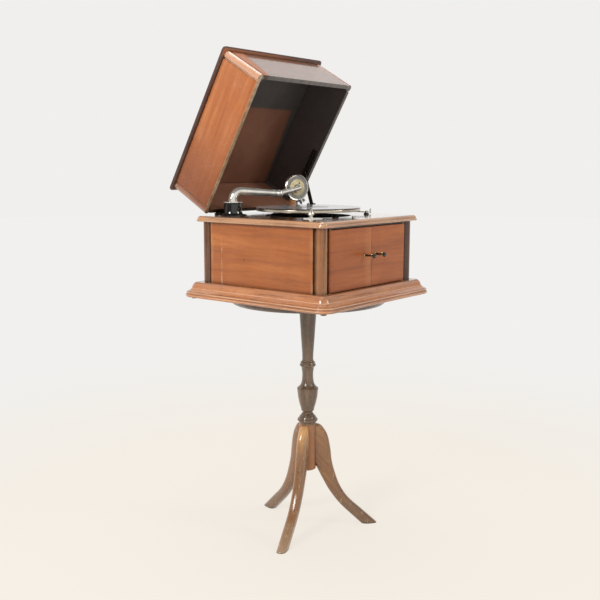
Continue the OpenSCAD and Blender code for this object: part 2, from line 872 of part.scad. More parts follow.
module stay_arm() {
    color(japan_black)
        translate([stay_x, stay_pivot.x, stay_pivot.y])
            rotate([stay_tilt, 0, 0])
                difference() {
                    union() {
                        span_box([0, 0, -stay_w / 2], [stay_t, stay_l, stay_w / 2]);
                        for (y = [0, stay_l])
                            translate([0, y, 0])
                                rotate([0, 90, 0]) cylinder(h = stay_t, r = stay_w / 2);
                        translate([0, stay_l, 0])
                            rotate([0, 90, 0])
                                cylinder(h = lid_inner_x - 0.5 - stay_x, r = stay_pin_r);
                    }
                    translate([-1, 0, 0])
                        rotate([0, 90, 0]) cylinder(h = stay_t + 2, r = stay_pin_r + run_fit);
                }
}

module stay_bracket() {
    x0 = stay_x + stay_t + 0.5;
    color(japan_black) {
        span_box([x0, stay_pivot.x - 9, deck_z], [x0 + 2, stay_pivot.x + 9, stay_pivot.y + 5]);
        span_box([x0 - 14, stay_pivot.x - 9, deck_z], [x0 + 2, stay_pivot.x + 9, deck_z + 1.6]);
        translate([stay_x - 2, stay_pivot.x, stay_pivot.y])
            rotate([0, 90, 0]) cylinder(h = x0 + 1 - stay_x + 2, r = stay_pin_r);
        translate([stay_x - 2, stay_pivot.x, stay_pivot.y])
            rotate([0, 90, 0]) cylinder(h = 1.6, r = stay_pin_r + 2);
    }
}

module stay_track() {
    // Travel of the pin along the track, from the hinge line forwards
    y0 = hinge_y - 160;
    y1 = hinge_y - 108;
    z = hinge_z + track_rise;
    w = stay_pin_r + slot_fit;
    color(japan_black)
        propped()
            difference() {
                span_box([lid_inner_x - track_t, y0 - 12, z - 6],
                         [lid_inner_x, y1 + 12, z + 6]);
                span_box([lid_inner_x - track_t - 1, y0 - w, z - w],
                         [lid_inner_x + 1, y1 + w, z + w]);
            }
}

// --------------------------------------------------------------- turntable

// The spindle is relieved where a record lies, and the record's hole clears its tip
seat_r = spindle_r - 0.3;
record_hole_r = spindle_r + 0.07;
relief = 0.3;
shank_r = spindle_r + 0.9;
platter_web = 1.6;
platter_hub_r = 14;

module platter() {
    r = platter_d / 2;
    h = platter_rim;
    color(steel)
        difference() {
            translate([0, 0, platter_top - h])
                rotate_extrude($fn = 128)
                    polygon(concat(
                        [[0, -6], [platter_hub_r, -6], [platter_hub_r + 2, h - platter_web],
                         [r - 3, h - platter_web], [r - 3, 0.4], [r - 2.6, 0]],
                        arc([r - 1, 1], 1, -70, 0, 3),
                        arc([r - 1.6, h - 1.6], 1.6, 0, 85, 4),
                        [[0, h]]));
            translate([0, 0, platter_top - h - 7]) cylinder(h = h + 8, r = shank_r + seat_fit);
        }
}

module record() {
    r = record_d / 2;
    t = record_t;
    color(shellac)
        difference() {
            translate([0, 0, platter_top])
                rotate_extrude($fn = 128)
                    polygon([[0, 0], [r - 1.2, 0], [r, t * 0.4], [r, t * 0.7], [r - 1, t - 0.15],
                             [r - 5, t - 0.25], [55, t - 0.25], [51, t], [0, t]]);
            translate([0, 0, platter_top - 1]) cylinder(h = t + 2, r = record_hole_r);
        }
}

crown_r = crown_teeth * crown_mod / 2;
pinion_r = pinion_teeth * crown_mod / 2;
crown_face = 3;
crown_z = shaft_z + crown_r;
foot_r_spindle = 2.5;
footstep_z = shaft_z + 18;
wheel_z = body_top - 5 - 8.5;
wheel_t = 3;

module spindle() {
    color(steel) {
        translate([0, 0, footstep_z + 0.5])
            cylinder(h = 7, r = foot_r_spindle);
        translate([0, 0, footstep_z + 7])
            cylinder(h = platter_top - 0.5 - footstep_z - 7, r = shank_r);
        translate([0, 0, platter_top - 1]) cylinder(h = record_t + 1.5, r = seat_r);
        translate([0, 0, record_top + relief])
            cylinder(h = spindle_tip - 2.8 - relief, r = spindle_r);
        translate([0, 0, record_top + spindle_tip - 3])
            cylinder(h = 3, r1 = spindle_r, r2 = spindle_r * 0.45);
        translate([0, 0, crown_z - crown_face / 2 - 0.6])
            rotate([0, 0, 180]) gear(pinion_teeth, crown_mod, crown_face + 1.2);
        translate([0, 0, wheel_z])
            rotate([0, 0, gov_heading]) gear(wheel_teeth, wheel_mod, wheel_t);
        translate([0, 0, wheel_z - 3]) cylinder(h = 3.5, r = 9);
    }
}

// ------------------------------------------------------------------- motor

gov_heading = 215;
gov_away = (wheel_teeth + gov_teeth) * wheel_mod / 2;
gov_at = gov_away * [cos(gov_heading), sin(gov_heading)];
lay_r = 3.5;
frame_x = [-62, 58];
cheek_t = 5;
bed_t = 5;
gov_shaft_r = 2.5;
gov_pivot_r = 1.5;
gov_foot_z = shaft_z - 19;
disc_level = shaft_z + 24;
brake_disc_r = 15;

// Speed lever: its pad bears on the governor's disc, its fork on the regulator's pin
pad_gap = 1.6;
pad_t = 5;
pad_at = gov_at + (brake_disc_r + pad_gap + pad_t / 2)
         * [cos(gov_heading), sin(gov_heading)];
lever_at = pad_at + 30 * [cos(gov_heading + 90), sin(gov_heading + 90)];
lever_z = disc_level + 4;
lever_t = 3;
lever_pin_r = 3;
crankpin_off = 5;
fork = lever_at - knob_at;
fork_dir = fork / norm(fork);

module motor_frame() {
    bed_z = body_top - bed_t;
    color(cast_green)
        difference() {
            union() {
                // bedplate
                span_box([-76, -82, bed_z], [76, 72, body_top]);
                // cheeks that carry the horizontal shafts
                for (x = frame_x)
                    span_box([x, gov_at.y - 9, shaft_z - 20],
                             [x + cheek_t, arbor_y + 14, bed_z + 0.5]);
                // shelf under the governor
                span_box([frame_x[0] + 1, gov_at.y - 6, gov_foot_z - 6],
                         [gov_at.x + 6, gov_at.y + 6, gov_foot_z]);
                // footstep for the spindle
                span_box([-4, -54, footstep_z - 5], [6, -46, bed_z + 0.5]);
                span_box([-4, -54, footstep_z - 5], [6, 6, footstep_z + 1]);
                // post for the speed lever
                translate([lever_at.x, lever_at.y, lever_z - 1.5])
                    cylinder(h = bed_z + 0.5 - lever_z + 1.5, r = lever_pin_r);
                translate([lever_at.x, lever_at.y, lever_z - 2.2])
                    cylinder(h = 2, r = lever_pin_r + 2);
                translate([lever_at.x, lever_at.y, lever_z + lever_t + 0.2])
                    cylinder(h = bed_z + 0.5 - lever_z - lever_t - 0.2, r = lever_pin_r + 2);
            }
            translate([0, 0, bed_z - 1]) cylinder(h = bed_t + 2, r = shank_r + run_fit);
            translate([0, 0, footstep_z - 4.5])
                cylinder(h = 8, r = foot_r_spindle + run_fit);
            translate([gov_at.x, gov_at.y, bed_z - 1])
                cylinder(h = 4, r = gov_pivot_r + run_fit);
            translate([gov_at.x, gov_at.y, gov_foot_z - 3])
                cylinder(h = 4, r = gov_pivot_r + run_fit);
            for (x = frame_x) {
                translate([x - 1, 0, shaft_z])
                    rotate([0, 90, 0]) cylinder(h = cheek_t + 2, r = lay_r + run_fit);
                translate([x - 1, arbor_y, shaft_z])
                    rotate([0, 90, 0]) cylinder(h = cheek_t + 2, r = arbor_r + run_fit);
            }
            bolt_places()
                translate([0, 0, bed_z - 1]) cylinder(h = bed_t + 2, r = bolt_r + seat_fit);
        }
}

module motor_bolts() {
    color(japan_black)
        bolt_places() {
            translate([0, 0, deck_z])
                rotate_extrude()
                    polygon([[0, 0], [8.6, 0], [8.6, 1.6], [7.8, 3.4], [5.8, 5], [3, 6],
                             [0, 6.3]]);
            translate([0, 0, body_top - bed_t - 4])
                cylinder(h = board_t + bed_t + 4.5, r = bolt_r);
            translate([0, 0, body_top - bed_t - 4])
                cylinder(h = 4, r = 4.6, $fn = 6);
        }
}

// A crown wheel's tooth, a rack's tooth that stands up and runs outwards
module crown_tooth() {
    half = PI * crown_mod / 4 - backlash / 2;
    add = 0.92 * crown_mod;
    ded = 1.2 * crown_mod;
    translate([crown_r - crown_face / 2, 0, 0])
        rotate([90, 0, 90])
            linear_extrude(height = crown_face)
                polygon([[-half - ded * tan(20), -ded - 0.3], [half + ded * tan(20), -ded - 0.3],
                         [half + ded * tan(20), -ded], [half - add * tan(20), add],
                         [-half + add * tan(20), add], [-half - ded * tan(20), -ded]]);
}

module lay_shaft() {
    teeth_x = -pinion_r;
    disc_x = teeth_x - 1.2 * crown_mod;
    pitch = 360 / crown_teeth;
    color(brass)
        translate([0, 0, shaft_z]) {
            along_x(frame_x[0] + 1)
                cylinder(h = frame_x[1] + cheek_t - 1 - frame_x[0] - 1, r = lay_r);
            along_x(12) gear(pinion_teeth, barrel_mod, 8);
            along_x(disc_x - 3) cylinder(h = 3, r = crown_r + crown_face / 2);
            along_x(disc_x - 9) cylinder(h = 6.5, r = 7);
            along_x(teeth_x)
                for (i = [0:crown_teeth - 1])
                    rotate([0, 0, 90 + (i + 0.5) * pitch]) crown_tooth();
        }
}

barrel_x = 19;
gear_t = 6;
barrel_wall = 1.5;
cap_t = 2;

module spring_barrel() {
    color(steel)
        translate([0, arbor_y, shaft_z])
            difference() {
                union() {
                    along_x(barrel_x - gear_t)
                        rotate([0, 0, 180 + 180 / barrel_teeth])
                            gear(barrel_teeth, barrel_mod, gear_t);
                    along_x(barrel_x - 0.5) cylinder(h = barrel_l + 0.5, r = barrel_r);
                }
                along_x(barrel_x) cylinder(h = barrel_l + 1, r = barrel_r - barrel_wall);
                along_x(barrel_x - gear_t - 1)
                    cylinder(h = gear_t + 2, r = arbor_r + run_fit);
            }
}

module barrel_cap() {
    color(brass)
        translate([0, arbor_y, shaft_z])
            difference() {
                along_x(barrel_x + barrel_l - cap_t)
                    cylinder(h = cap_t, r = barrel_r - barrel_wall - seat_fit);
                along_x(barrel_x + barrel_l - cap_t - 1)
                    cylinder(h = cap_t + 2, r = arbor_r + run_fit);
            }
}

// The mainspring: one flat ribbon, wound from the arbor out to the barrel's wall
module mainspring() {
    r0 = arbor_r + 2;
    r1 = barrel_r - barrel_wall - 0.5;
    steps = spring_turns * 16;
    t = 0.6;
    edge = function (k, off) let (r = r0 + t + (r1 - r0 - t) * k / steps)
        (r + off) * [cos(k * 22.5), sin(k * 22.5)];
    color(steel)
        translate([0, arbor_y, shaft_z])
            along_x(barrel_x + 1.5)
                linear_extrude(height = barrel_l - cap_t - 3)
                    polygon(concat([for (k = [0:steps]) edge(k, 0)],
                                   [for (k = [steps:-1:0]) edge(k, -t)]));
}

governor_ball_r = 5;
ball_off = 10.5;

module governor() {
    low = gov_foot_z;
    bed_z = body_top - bed_t;
    ball_z = (low + 12 + disc_level) / 2;
    color(brass)
        translate([gov_at.x, gov_at.y, 0]) {
            translate([0, 0, low - 2.5]) cylinder(h = bed_z + 5 - low, r = gov_pivot_r);
            translate([0, 0, low + 0.5]) cylinder(h = bed_z - 1 - low, r = gov_shaft_r);
            translate([0, 0, wheel_z - 1])
                rotate([0, 0, gov_heading + 180 + 180 / gov_teeth])
                    gear(gov_teeth, wheel_mod, wheel_t + 2);
            translate([0, 0, low + 6]) cylinder(h = 6, r = 6);
            translate([0, 0, disc_level - 5]) cylinder(h = 5.5, r = 6);
            translate([0, 0, disc_level]) cylinder(h = 2.5, r = brake_disc_r);
            for (a = [30, 150, 270])
                rotate([0, 0, a]) {
                    round_bar([5, 0, low + 9], [ball_off, 0, ball_z], 0.9, 0.9);
                    round_bar([ball_off, 0, ball_z], [5, 0, disc_level - 2.5], 0.9, 0.9);
                    translate([ball_off, 0, ball_z]) sphere(r = governor_ball_r);
                }
        }
}

// ------------------------------------------------------- winding and crank

shaft_end = face_hw - panel_t - 15;

module winding_shaft() {
    color(steel)
        translate([0, arbor_y, shaft_z])
            difference() {
                union() {
                    along_x(frame_x[0] + 1) cylinder(h = shaft_end - frame_x[0] - 1, r = arbor_r);
                    along_x(shaft_end - 14) cylinder(h = 28, r = 8);
                }
                along_x(shaft_end) cylinder(h = 15, r = arbor_r + seat_fit);
            }
}

bush_out = 7;

module crank_bush() {
    color(nickel)
        translate([0, arbor_y, shaft_z])
            difference() {
                union() {
                    along_x(face_hw - panel_t + 1) cylinder(h = panel_t - 1, r = bush_r);
                    along_x(face_hw) cylinder(h = 2, r = 18);
                    along_x(face_hw + 2) cylinder(h = bush_out - 2, r1 = 12, r2 = 9);
                }
                along_x(face_hw - panel_t - 1)
                    cylinder(h = panel_t + bush_out + 2, r = arbor_r + run_fit);
            }
}

crank_x = face_hw + bush_out + 12;
grip_x = crank_x + 14;
grip_pin_r = 3;

// Draws along the crank's arm: x out of the cabinet, y along the arm
module at_crank() {
    translate([0, arbor_y, shaft_z]) rotate([-crank_rest, 0, 0]) children();
}

module crank() {
    e = grip_x - 6;
    color(nickel)
        at_crank() {
            round_bar([shaft_end + 1, 0, 0], [crank_x, 0, 0], arbor_r, arbor_r);
            translate([crank_x, 0, 0]) sphere(r = arbor_r + 0.6);
            round_bar([crank_x, 0, 0], [e, crank_reach, 0], arbor_r, arbor_r);
            translate([e, crank_reach, 0]) sphere(r = arbor_r + 0.6);
            translate([e, crank_reach, 0]) rotate([0, 90, 0])
                cylinder(h = grip_l + 9, r = grip_pin_r);
            translate([grip_x - 2.5, crank_reach, 0])
                rotate([0, 90, 0]) cylinder(h = 2, r = 5.5);
            translate([grip_x + grip_l + 0.5, crank_reach, 0])
                rotate([0, 90, 0]) cylinder(h = 2.5, r = 5);
        }
}

module crank_grip() {
    l = grip_l;
    r = grip_r;
    color(dark_wood)
        at_crank()
            translate([grip_x, crank_reach, 0])
                rotate([0, 90, 0])
                    difference() {
                        rotate_extrude()
                            polygon(concat(
                                [[0, 0], [r * 0.7, 0], [r * 0.78, 1.5], [r * 0.62, 3.5]],
                                smooth([[r * 0.66, 5], [r * 0.86, l * 0.3], [r, l * 0.62],
                                        [r * 0.92, l * 0.88], [r * 0.62, l]], 5),
                                [[0, l]]));
                        translate([0, 0, -1])
                            cylinder(h = l + 2, r = grip_pin_r + run_fit);
                    }
}

// -------------------------------------------------- regulator and brake

speed_knob_h = 19;

module speed_knob() {
    p = knob_at;
    color(nickel)
        translate([p.x, p.y, 0]) {
            translate([0, 0, deck_z + 2.4])
                rotate_extrude()
                    polygon(concat(
                        [[0, 0], [speed_knob_r - 1.4, 0], [speed_knob_r - 1.4, 1.2],
                         [4, 2.2], [3.8, 5.2], [speed_knob_r - 0.8, 5.8]],
                        smooth([[speed_knob_r, 6.6], [speed_knob_r, 8.4],
                                [speed_knob_r - 1.2, 12], [speed_knob_r - 3, 15.6],
                                [speed_knob_r - 4.6, 18], [0.01, speed_knob_h]], 4),
                        [[0, speed_knob_h]]));
            translate([0, 0, lever_z + lever_t + 1])
                cylinder(h = deck_z + 3 - lever_z - lever_t - 1, r = rod_r);
            translate([0, 0, lever_z + lever_t + 1]) cylinder(h = 3, r = 8);
            translate([crankpin_off * fork_dir.x, crankpin_off * fork_dir.y, lever_z - 1])
                cylinder(h = lever_t + 3, r = 1.5);
        }
}

// Flat indicator plate under the regulator's knob
module speed_dial() {
    p = knob_at;
    color(ivory)
        difference() {
            translate([p.x + 3, p.y - 3, deck_z]) cylinder(h = 1.2, r = 22);
            translate([p.x, p.y, deck_z - 1]) cylinder(h = 4, r = rod_r + run_fit);
        }
}

module speed_lever() {
    slot_c = norm(fork) - crankpin_off;
    fork_turn = atan2(-fork.y, -fork.x);
    color(brass)
        translate([0, 0, lever_z])
            difference() {
                union() {
                    translate([lever_at.x, lever_at.y, 0]) {
                        cylinder(h = lever_t, r = 7);
                        rotate([0, 0, fork_turn])
                            translate([0, -4, 0]) cube([slot_c + 7, 8, lever_t]);
                        rotate([0, 0, gov_heading - 90])
                            translate([0, -3, 0]) cube([30 + 3, 6, lever_t]);
                    }
                    translate([pad_at.x, pad_at.y, -5])
                        rotate([0, 0, gov_heading])
                            translate([-pad_t / 2, -3, 0]) cube([pad_t, 6, 5 + lever_t]);
                }
                translate([lever_at.x, lever_at.y, -1])
                    cylinder(h = lever_t + 2, r = lever_pin_r + run_fit);
                translate([lever_at.x, lever_at.y, -1])
                    rotate([0, 0, fork_turn])
                        translate([slot_c - 2.6, -2, 0]) cube([6, 4, lever_t + 2]);
            }
}

// Brake at the platter's right edge: its pad stops the rim, its pin is the finger grip
brake_at = about(platter_d / 2 + 23.5, -35.7);
brake_pin = about(platter_d / 2 + 44, -27.8);
brake_pad_turn = -23;
brake_pad_t = 6;
brake_gap = 0.4;
brake_pad = about(platter_d / 2 + brake_gap + brake_pad_t / 2, brake_pad_turn);
brake_post_r = 2.5;
brake_lift = 5;
brake_t = 2.5;

module brake_base() {
    color(japan_black)
        translate([brake_at.x, brake_at.y, deck_z]) {
            rotate_extrude()
                polygon(concat([[0, 0], [6.6, 0]],
                               arc([brake_post_r + 0.4, 1], brake_lift - 1.3, 0, 90, 6),
                               [[0, brake_lift - 0.3]]));
            cylinder(h = brake_lift + brake_t + 0.5, r = brake_post_r);
            translate([0, 0, brake_lift + brake_t + 0.2])
                cylinder(h = 1.5, r1 = brake_post_r + 1.5, r2 = brake_post_r);
        }
}

// A flat arm of the brake from its pivot to p
module brake_arm(p, w) {
    v = p - brake_at;
    translate([brake_at.x, brake_at.y, 0])
        rotate([0, 0, atan2(v.y, v.x)])
            translate([4, -w / 2, 0.2]) cube([norm(v) - 4, w, brake_t - 0.4]);
}

module brake_lever() {
    color(nickel)
        translate([0, 0, deck_z + brake_lift])
            difference() {
                union() {
                    translate([brake_at.x, brake_at.y, 0]) cylinder(h = brake_t, r = 5.4);
                    brake_arm(brake_pad, 6);
                    brake_arm(brake_pin, 3.4);
                    translate([brake_pad.x, brake_pad.y, 0])
                        rotate([0, 0, brake_pad_turn])
                            translate([-brake_pad_t / 2, -4, 0])
                                cube([brake_pad_t, 8, platter_top - 2 - deck_z - brake_lift]);
                    translate([brake_pin.x, brake_pin.y, -3]) cylinder(h = 11.5, r = 2);
                }
                translate([brake_at.x, brake_at.y, -1])
                    cylinder(h = brake_t + 2, r = brake_post_r + run_fit);
            }
}

// Turned peg that the sound box is laid against
rest_at = [98.4, 129.8];
rest_h = 33;

module rest_post() {
    color(mahogany)
        translate([rest_at.x, rest_at.y, deck_z])
            rotate_extrude()
                polygon(concat(
                    [[0, 0], [9.3, 0], [9.3, 2], [8.4, 3]],
                    smooth([[8.6, 6], [9, 14], [9.2, 24], [8.6, 30]], 4),
                    [[7.4, 32], [5, rest_h], [0, rest_h]]));
}

// --------------------------------------------------------------- tone arm

// Draws in the arm's frame: x from the pivot to the needle's tip, y to the left
module at_arm() {
    translate([arm_at.x, arm_at.y, 0]) rotate([0, 0, arm_heading]) children();
}

tube_z = deck_z + arm_rise;
tip_z = record_top + needle_gap;
box_z = tip_z + box_rise;
box_x = arm_reach - needle_trail;
box_front = -3;
box_back = box_front - box_t;
elbow_r = 22;
cap_r = 23.4;
// The tube heads a little to the right of the needle, so that the sound box hangs beside it
tube_turn = -atan2(27.5, 140);

module tonearm_base() {
    color(japan_black)
        translate([arm_at.x, arm_at.y, 0]) {
            difference() {
                translate([0, 0, deck_z])
                    rotate_extrude()
                        polygon([[throat_r + 0.1, 0], [base_flange_r, 0], [base_flange_r, 1.6],
                                 [base_flange_r - 2, 3], [cap_r + 2.5, 3.8], [cap_r - 0.4, 6],
                                 [cap_r - 1.6, 10], [cap_r - 2.2, base_h - 3],
                                 [cap_r - 3.4, base_h], [stem_r + run_fit, base_h],
                                 [stem_r + run_fit, 1.4], [throat_r + 0.1, 1.2]]);
            }
            for (a = [20, 140, 260])
                rotate([0, 0, a])
                    translate([base_flange_r - 4.5, 0, deck_z + 2.4])
                        cylinder(h = 2.4, r1 = 2.8, r2 = 1.6);
        }
}

// Draws along the sloping tube: z is the tube's own axis, from the elbow outwards
module at_tube() {
    at_arm()
        rotate([0, 0, tube_turn])
            translate([0, 0, tube_z])
                rotate([0, 90 + arm_dip, 0]) children();
}

// The arm's tube, drawn solid, thinner by g all round. Its straight lengths are a
// little wider than the bend, as soldered ferrules.
ferrule = 0.3;

module arm_solid(g) {
    z0 = deck_z + base_h;
    translate([0, 0, z0 - 22]) cylinder(h = 22.01 + 1, r = stem_r - g);
    rotate([0, 0, tube_turn]) {
        translate([0, 0, z0])
            cylinder(h = tube_z - elbow_r - z0 + 0.3, r = tube_r1 + ferrule - g);
        translate([elbow_r, 0, tube_z - elbow_r])
            rotate([90, 0, 180])
                rotate_extrude(angle = 90 - arm_dip)
                    translate([elbow_r, 0]) circle(r = tube_r1 - g);
    }
}

elbow_end = [elbow_r - elbow_r * sin(arm_dip), tube_z - elbow_r + elbow_r * cos(arm_dip)];

// Draws from the end of the elbow, z along the tube
module from_elbow() {
    rotate([0, 0, tube_turn])
        translate([elbow_end.x, 0, elbow_end.y])
            rotate([0, 90 + arm_dip, 0]) children();
}

tube_l = tube_end - elbow_end.x;
collar_l = 5;
spigot_r = tube_r2 - tube_wall;
spigot_l = 12;

module tonearm() {
    color(nickel)
        at_arm()
            difference() {
                union() {
                    arm_solid(0);
                    translate([0, 0, deck_z + base_h + 0.3]) cylinder(h = 1.8, r = cap_r);
                    from_elbow() {
                        translate([0, 0, -0.5])
                            cylinder(h = tube_l + 0.5, r1 = tube_r1 + ferrule, r2 = tube_r2);
                        translate([0, 0, tube_l - collar_l])
                            cylinder(h = collar_l, r = tube_r2 + 1.4);
                        translate([0, 0, 8]) cylinder(h = 2, r = tube_r1 + 0.5);
                    }
                }
                arm_solid(tube_wall);
                translate([0, 0, deck_z - 1]) cylinder(h = 16, r = stem_r - tube_wall);
                from_elbow() {
                    translate([0, 0, -0.5])
                        cylinder(h = tube_l, r1 = tube_r1 + ferrule - tube_wall,
                                 r2 = spigot_r - 0.6);
                    translate([0, 0, tube_l - spigot_l - 1])
                        cylinder(h = spigot_l + 2, r = spigot_r + run_fit);
                }
            }
}

// Points of the gooseneck in the arm's own frame
function tube_point(s) = let (x = elbow_end.x + s * cos(arm_dip))
    [x * cos(tube_turn), x * sin(tube_turn), elbow_end.y - s * sin(arm_dip)];
neck_r = 5.8;
knuckle_at = tube_l + 13;
neck_start = tube_point(knuckle_at);
neck_bend = [box_x - 1, box_back - 10, box_z - 1];
neck_end = [box_x, box_back - 0.4, box_z];

module gooseneck() {
    color(nickel)
        at_arm() {
            from_elbow() {
                translate([0, 0, tube_l - spigot_l + 0.5])
                    difference() {
                        cylinder(h = spigot_l + 2, r = spigot_r);
                        translate([0, 0, -1]) cylinder(h = spigot_l, r = spigot_r - 1.2);
                    }
                translate([0, 0, tube_l + 0.3]) cylinder(h = 3.5, r = tube_r2 + 0.8);
                translate([0, 0, tube_l + 3]) cylinder(h = 10, r = tube_r2 - 0.6);
                translate([0, 0, knuckle_at]) sphere(r = tube_r2 + 2);
            }
            round_bar(neck_start, neck_bend, neck_r + 1.2, neck_r);
            translate(neck_bend) sphere(r = neck_r + 0.4);
            round_bar(neck_bend, neck_end, neck_r, neck_r);
        }
}

// Draws in the sound box's frame: z is its axis, towards its front
module at_box() {
    at_arm() translate([box_x, box_front, box_z]) rotate([-90, 0, 0]) children();
}

module soundbox_shell() {
    r = box_r;
    t = box_t;
    color(nickel)
        at_box()
            translate([0, 0, -t])
                rotate_extrude()
                    polygon([[0, 1], [8.6, 1], [8.6, 0], [20, 0], [20.6, 1.2], [20.6, 2.2],
                             [r - 4, 2.2], [r - 3.4, 0.8], [r - 1.5, 0.2], [r, 2], [r, t - 2],
                             [r - 1, t], [r - 4, t], [r - 5, t - 1.6], [r - 5, t - 4],
                             [r - 3.4, t - 4], [r - 3.4, 4.4], [0, 4.4]]);
}

module diaphragm() {
    color(ivory)
        at_box()
            translate([0, 0, -4.8])
                cylinder(h = 0.7, r = box_r - 3.6);
}

// Unit vector from the sound box's centre to the needle's tip, in the arm's x and z
bar_dir = [needle_trail, -box_rise] / norm([needle_trail, box_rise]);
bar_l = norm([needle_trail, box_rise]);
chuck_at = bar_l - 9.5;

function on_bar(s, y) = [box_x + bar_dir.x * s, y, box_z + bar_dir.y * s];

module stylus_bar() {
    color(steel)
        at_arm()
            difference() {
                union() {
                    round_bar(on_bar(0, box_front - 4), on_bar(0, 1), 1.3, 1.3);
                    round_bar(on_bar(0, 0), on_bar(chuck_at, 0), 1.2, 1.7);
                    round_bar(on_bar(chuck_at - 4, 0), on_bar(chuck_at + 4.5, 0), 3.4, 3);
                }
                round_bar(on_bar(chuck_at - 2, 0), on_bar(chuck_at + 6, 0),
                          0.7 + seat_fit, 0.7 + seat_fit);
                round_bar(on_bar(chuck_at, 0), on_bar(chuck_at, 0) + 6 * screw_dir,
                          1 + run_fit, 1 + run_fit);
            }
}

module needle() {
    color(steel)
        at_arm() {
            round_bar(on_bar(chuck_at - 1.5, 0), on_bar(bar_l - 3.8, 0), 0.7, 0.7);
            round_bar(on_bar(bar_l - 4, 0), on_bar(bar_l, 0), 0.75, 0.08);
        }
}

// The screw that grips the needle, square to the bar and away from the pivot
screw_dir = [-bar_dir.y, 0, bar_dir.x];

module needle_screw() {
    p = on_bar(chuck_at, 0);
    color(nickel)
        at_arm() {
            round_bar(p + 0.9 * screw_dir, p + 8.4 * screw_dir, 1, 1);
            round_bar(p + 7.4 * screw_dir, p + 12 * screw_dir, 3.8, 3.2);
        }
}

// ------------------------------------------------------------------ output

stand_column();
leg_1();
leg_2();
leg_3();
stand_top();
wood_screws();
base_board();
plinth_mouldings();
cabinet_feet();
corner_posts();
side_panel_left();
side_panel_right();
back_panel();
front_frame();
motor_board();
horn();
crank_bush();
lid_hinge_lower();
door_pivot_pins();
stay_bracket();
brake_base();
speed_dial();
tonearm_base();
rest_post();
motor_frame();
motor_bolts();
lid_top();
lid_front();
lid_back();
lid_left();
lid_right();
lid_posts();
lid_hinge_upper();
stay_track();
stay_arm();
left_door();
left_knob();
right_door();
right_knob();
platter();
record();
spindle();
lay_shaft();
spring_barrel();
barrel_cap();
mainspring();
winding_shaft();
crank();
crank_grip();
governor();
speed_knob();
speed_lever();
brake_lever();
tonearm();
gooseneck();
soundbox_shell();
diaphragm();
stylus_bar();
needle();
needle_screw();
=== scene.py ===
import math

import bpy
from mathutils import Matrix, Vector


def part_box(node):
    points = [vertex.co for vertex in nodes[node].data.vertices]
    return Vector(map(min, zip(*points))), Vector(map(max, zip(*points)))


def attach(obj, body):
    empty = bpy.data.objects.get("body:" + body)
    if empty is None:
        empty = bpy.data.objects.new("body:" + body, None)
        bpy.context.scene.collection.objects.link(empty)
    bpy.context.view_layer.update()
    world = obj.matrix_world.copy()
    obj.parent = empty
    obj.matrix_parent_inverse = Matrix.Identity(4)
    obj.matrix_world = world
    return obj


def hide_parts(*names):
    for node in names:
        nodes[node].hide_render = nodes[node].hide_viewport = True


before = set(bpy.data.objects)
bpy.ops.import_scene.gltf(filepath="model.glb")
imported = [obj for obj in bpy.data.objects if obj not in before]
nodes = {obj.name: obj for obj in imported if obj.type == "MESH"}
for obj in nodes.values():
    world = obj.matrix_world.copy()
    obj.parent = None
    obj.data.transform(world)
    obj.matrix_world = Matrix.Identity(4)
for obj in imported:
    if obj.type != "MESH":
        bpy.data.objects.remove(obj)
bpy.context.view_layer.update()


# ---------------------------------------------------------------- stand column
# The pedestal: one stick of mahogany turned on a lathe, with a hub for the legs, a vase
# and rings. It is stained dark and shellacked, and rubbed paler on its beads and vase.

def tone(red, green, blue):
    """A colour as it is seen, from 0 to 255, turned into the linear light a shader takes."""
    seen = [c / 255 for c in (red, green, blue)]
    return (*[c / 12.92 if c <= 0.04045 else ((c + 0.055) / 1.055) ** 2.4 for c in seen], 1)


def put(tree, kind, inputs=None, **settings):
    """Adds a node, and gives each named input a value or joins it to a socket."""
    node = tree.nodes.new(kind)
    for name, value in settings.items():
        setattr(node, name, value)
    for socket, value in (inputs or {}).items():
        if isinstance(value, bpy.types.NodeSocket):
            tree.links.new(value, node.inputs[socket])
        else:
            node.inputs[socket].default_value = value
    return node


def calc(tree, operation, a, b=0.0, c=0.0):
    """One sum on values."""
    return put(tree, "ShaderNodeMath", {0: a, 1: b, 2: c}, operation=operation).outputs[0]


def times(tree, first, *others):
    """Values multiplied together."""
    for other in others:
        first = calc(tree, "MULTIPLY", first, other)
    return first


def stretch(tree, value, low, high, new_low=0.0, new_high=1.0):
    """Spreads a value between low and high over a new range, with soft ends."""
    inputs = {"Value": value, "From Min": low, "From Max": high,
              "To Min": new_low, "To Max": new_high}
    node = put(tree, "ShaderNodeMapRange", inputs, interpolation_type="SMOOTHSTEP")
    return node.outputs["Result"]


def tint(tree, share, a, b, how="MIX"):
    """Lays colour b over colour a."""
    node = put(tree, "ShaderNodeMix", {0: share, 6: a, 7: b}, data_type="RGBA",
               blend_type=how)
    return node.outputs[2]


def noise(tree, vector, scale, detail=3.0, rough=0.55):
    """Soft noise; scale is one number, or one for each of the three directions."""
    each_way = scale if isinstance(scale, tuple) else (scale,) * 3
    place = put(tree, "ShaderNodeMapping", {"Vector": vector, "Scale": each_way})
    inputs = {"Vector": place.outputs[0], "Scale": 1.0, "Detail": detail, "Roughness": rough}
    return put(tree, "ShaderNodeTexNoise", inputs).outputs[0]


def join(tree, x, y=0.0, z=0.0):
    """A vector made of its x, y and z."""
    return put(tree, "ShaderNodeCombineXYZ", {0: x, 1: y, 2: z}).outputs[0]


def on_vectors(tree, operation, a, b=(0.0, 0.0, 0.0)):
    """One sum on vectors, and its vector or its value."""
    node = put(tree, "ShaderNodeVectorMath", {0: a, 1: b}, operation=operation)
    one_value = operation in ("LENGTH", "DISTANCE", "DOT_PRODUCT")
    return node.outputs["Value" if one_value else "Vector"]


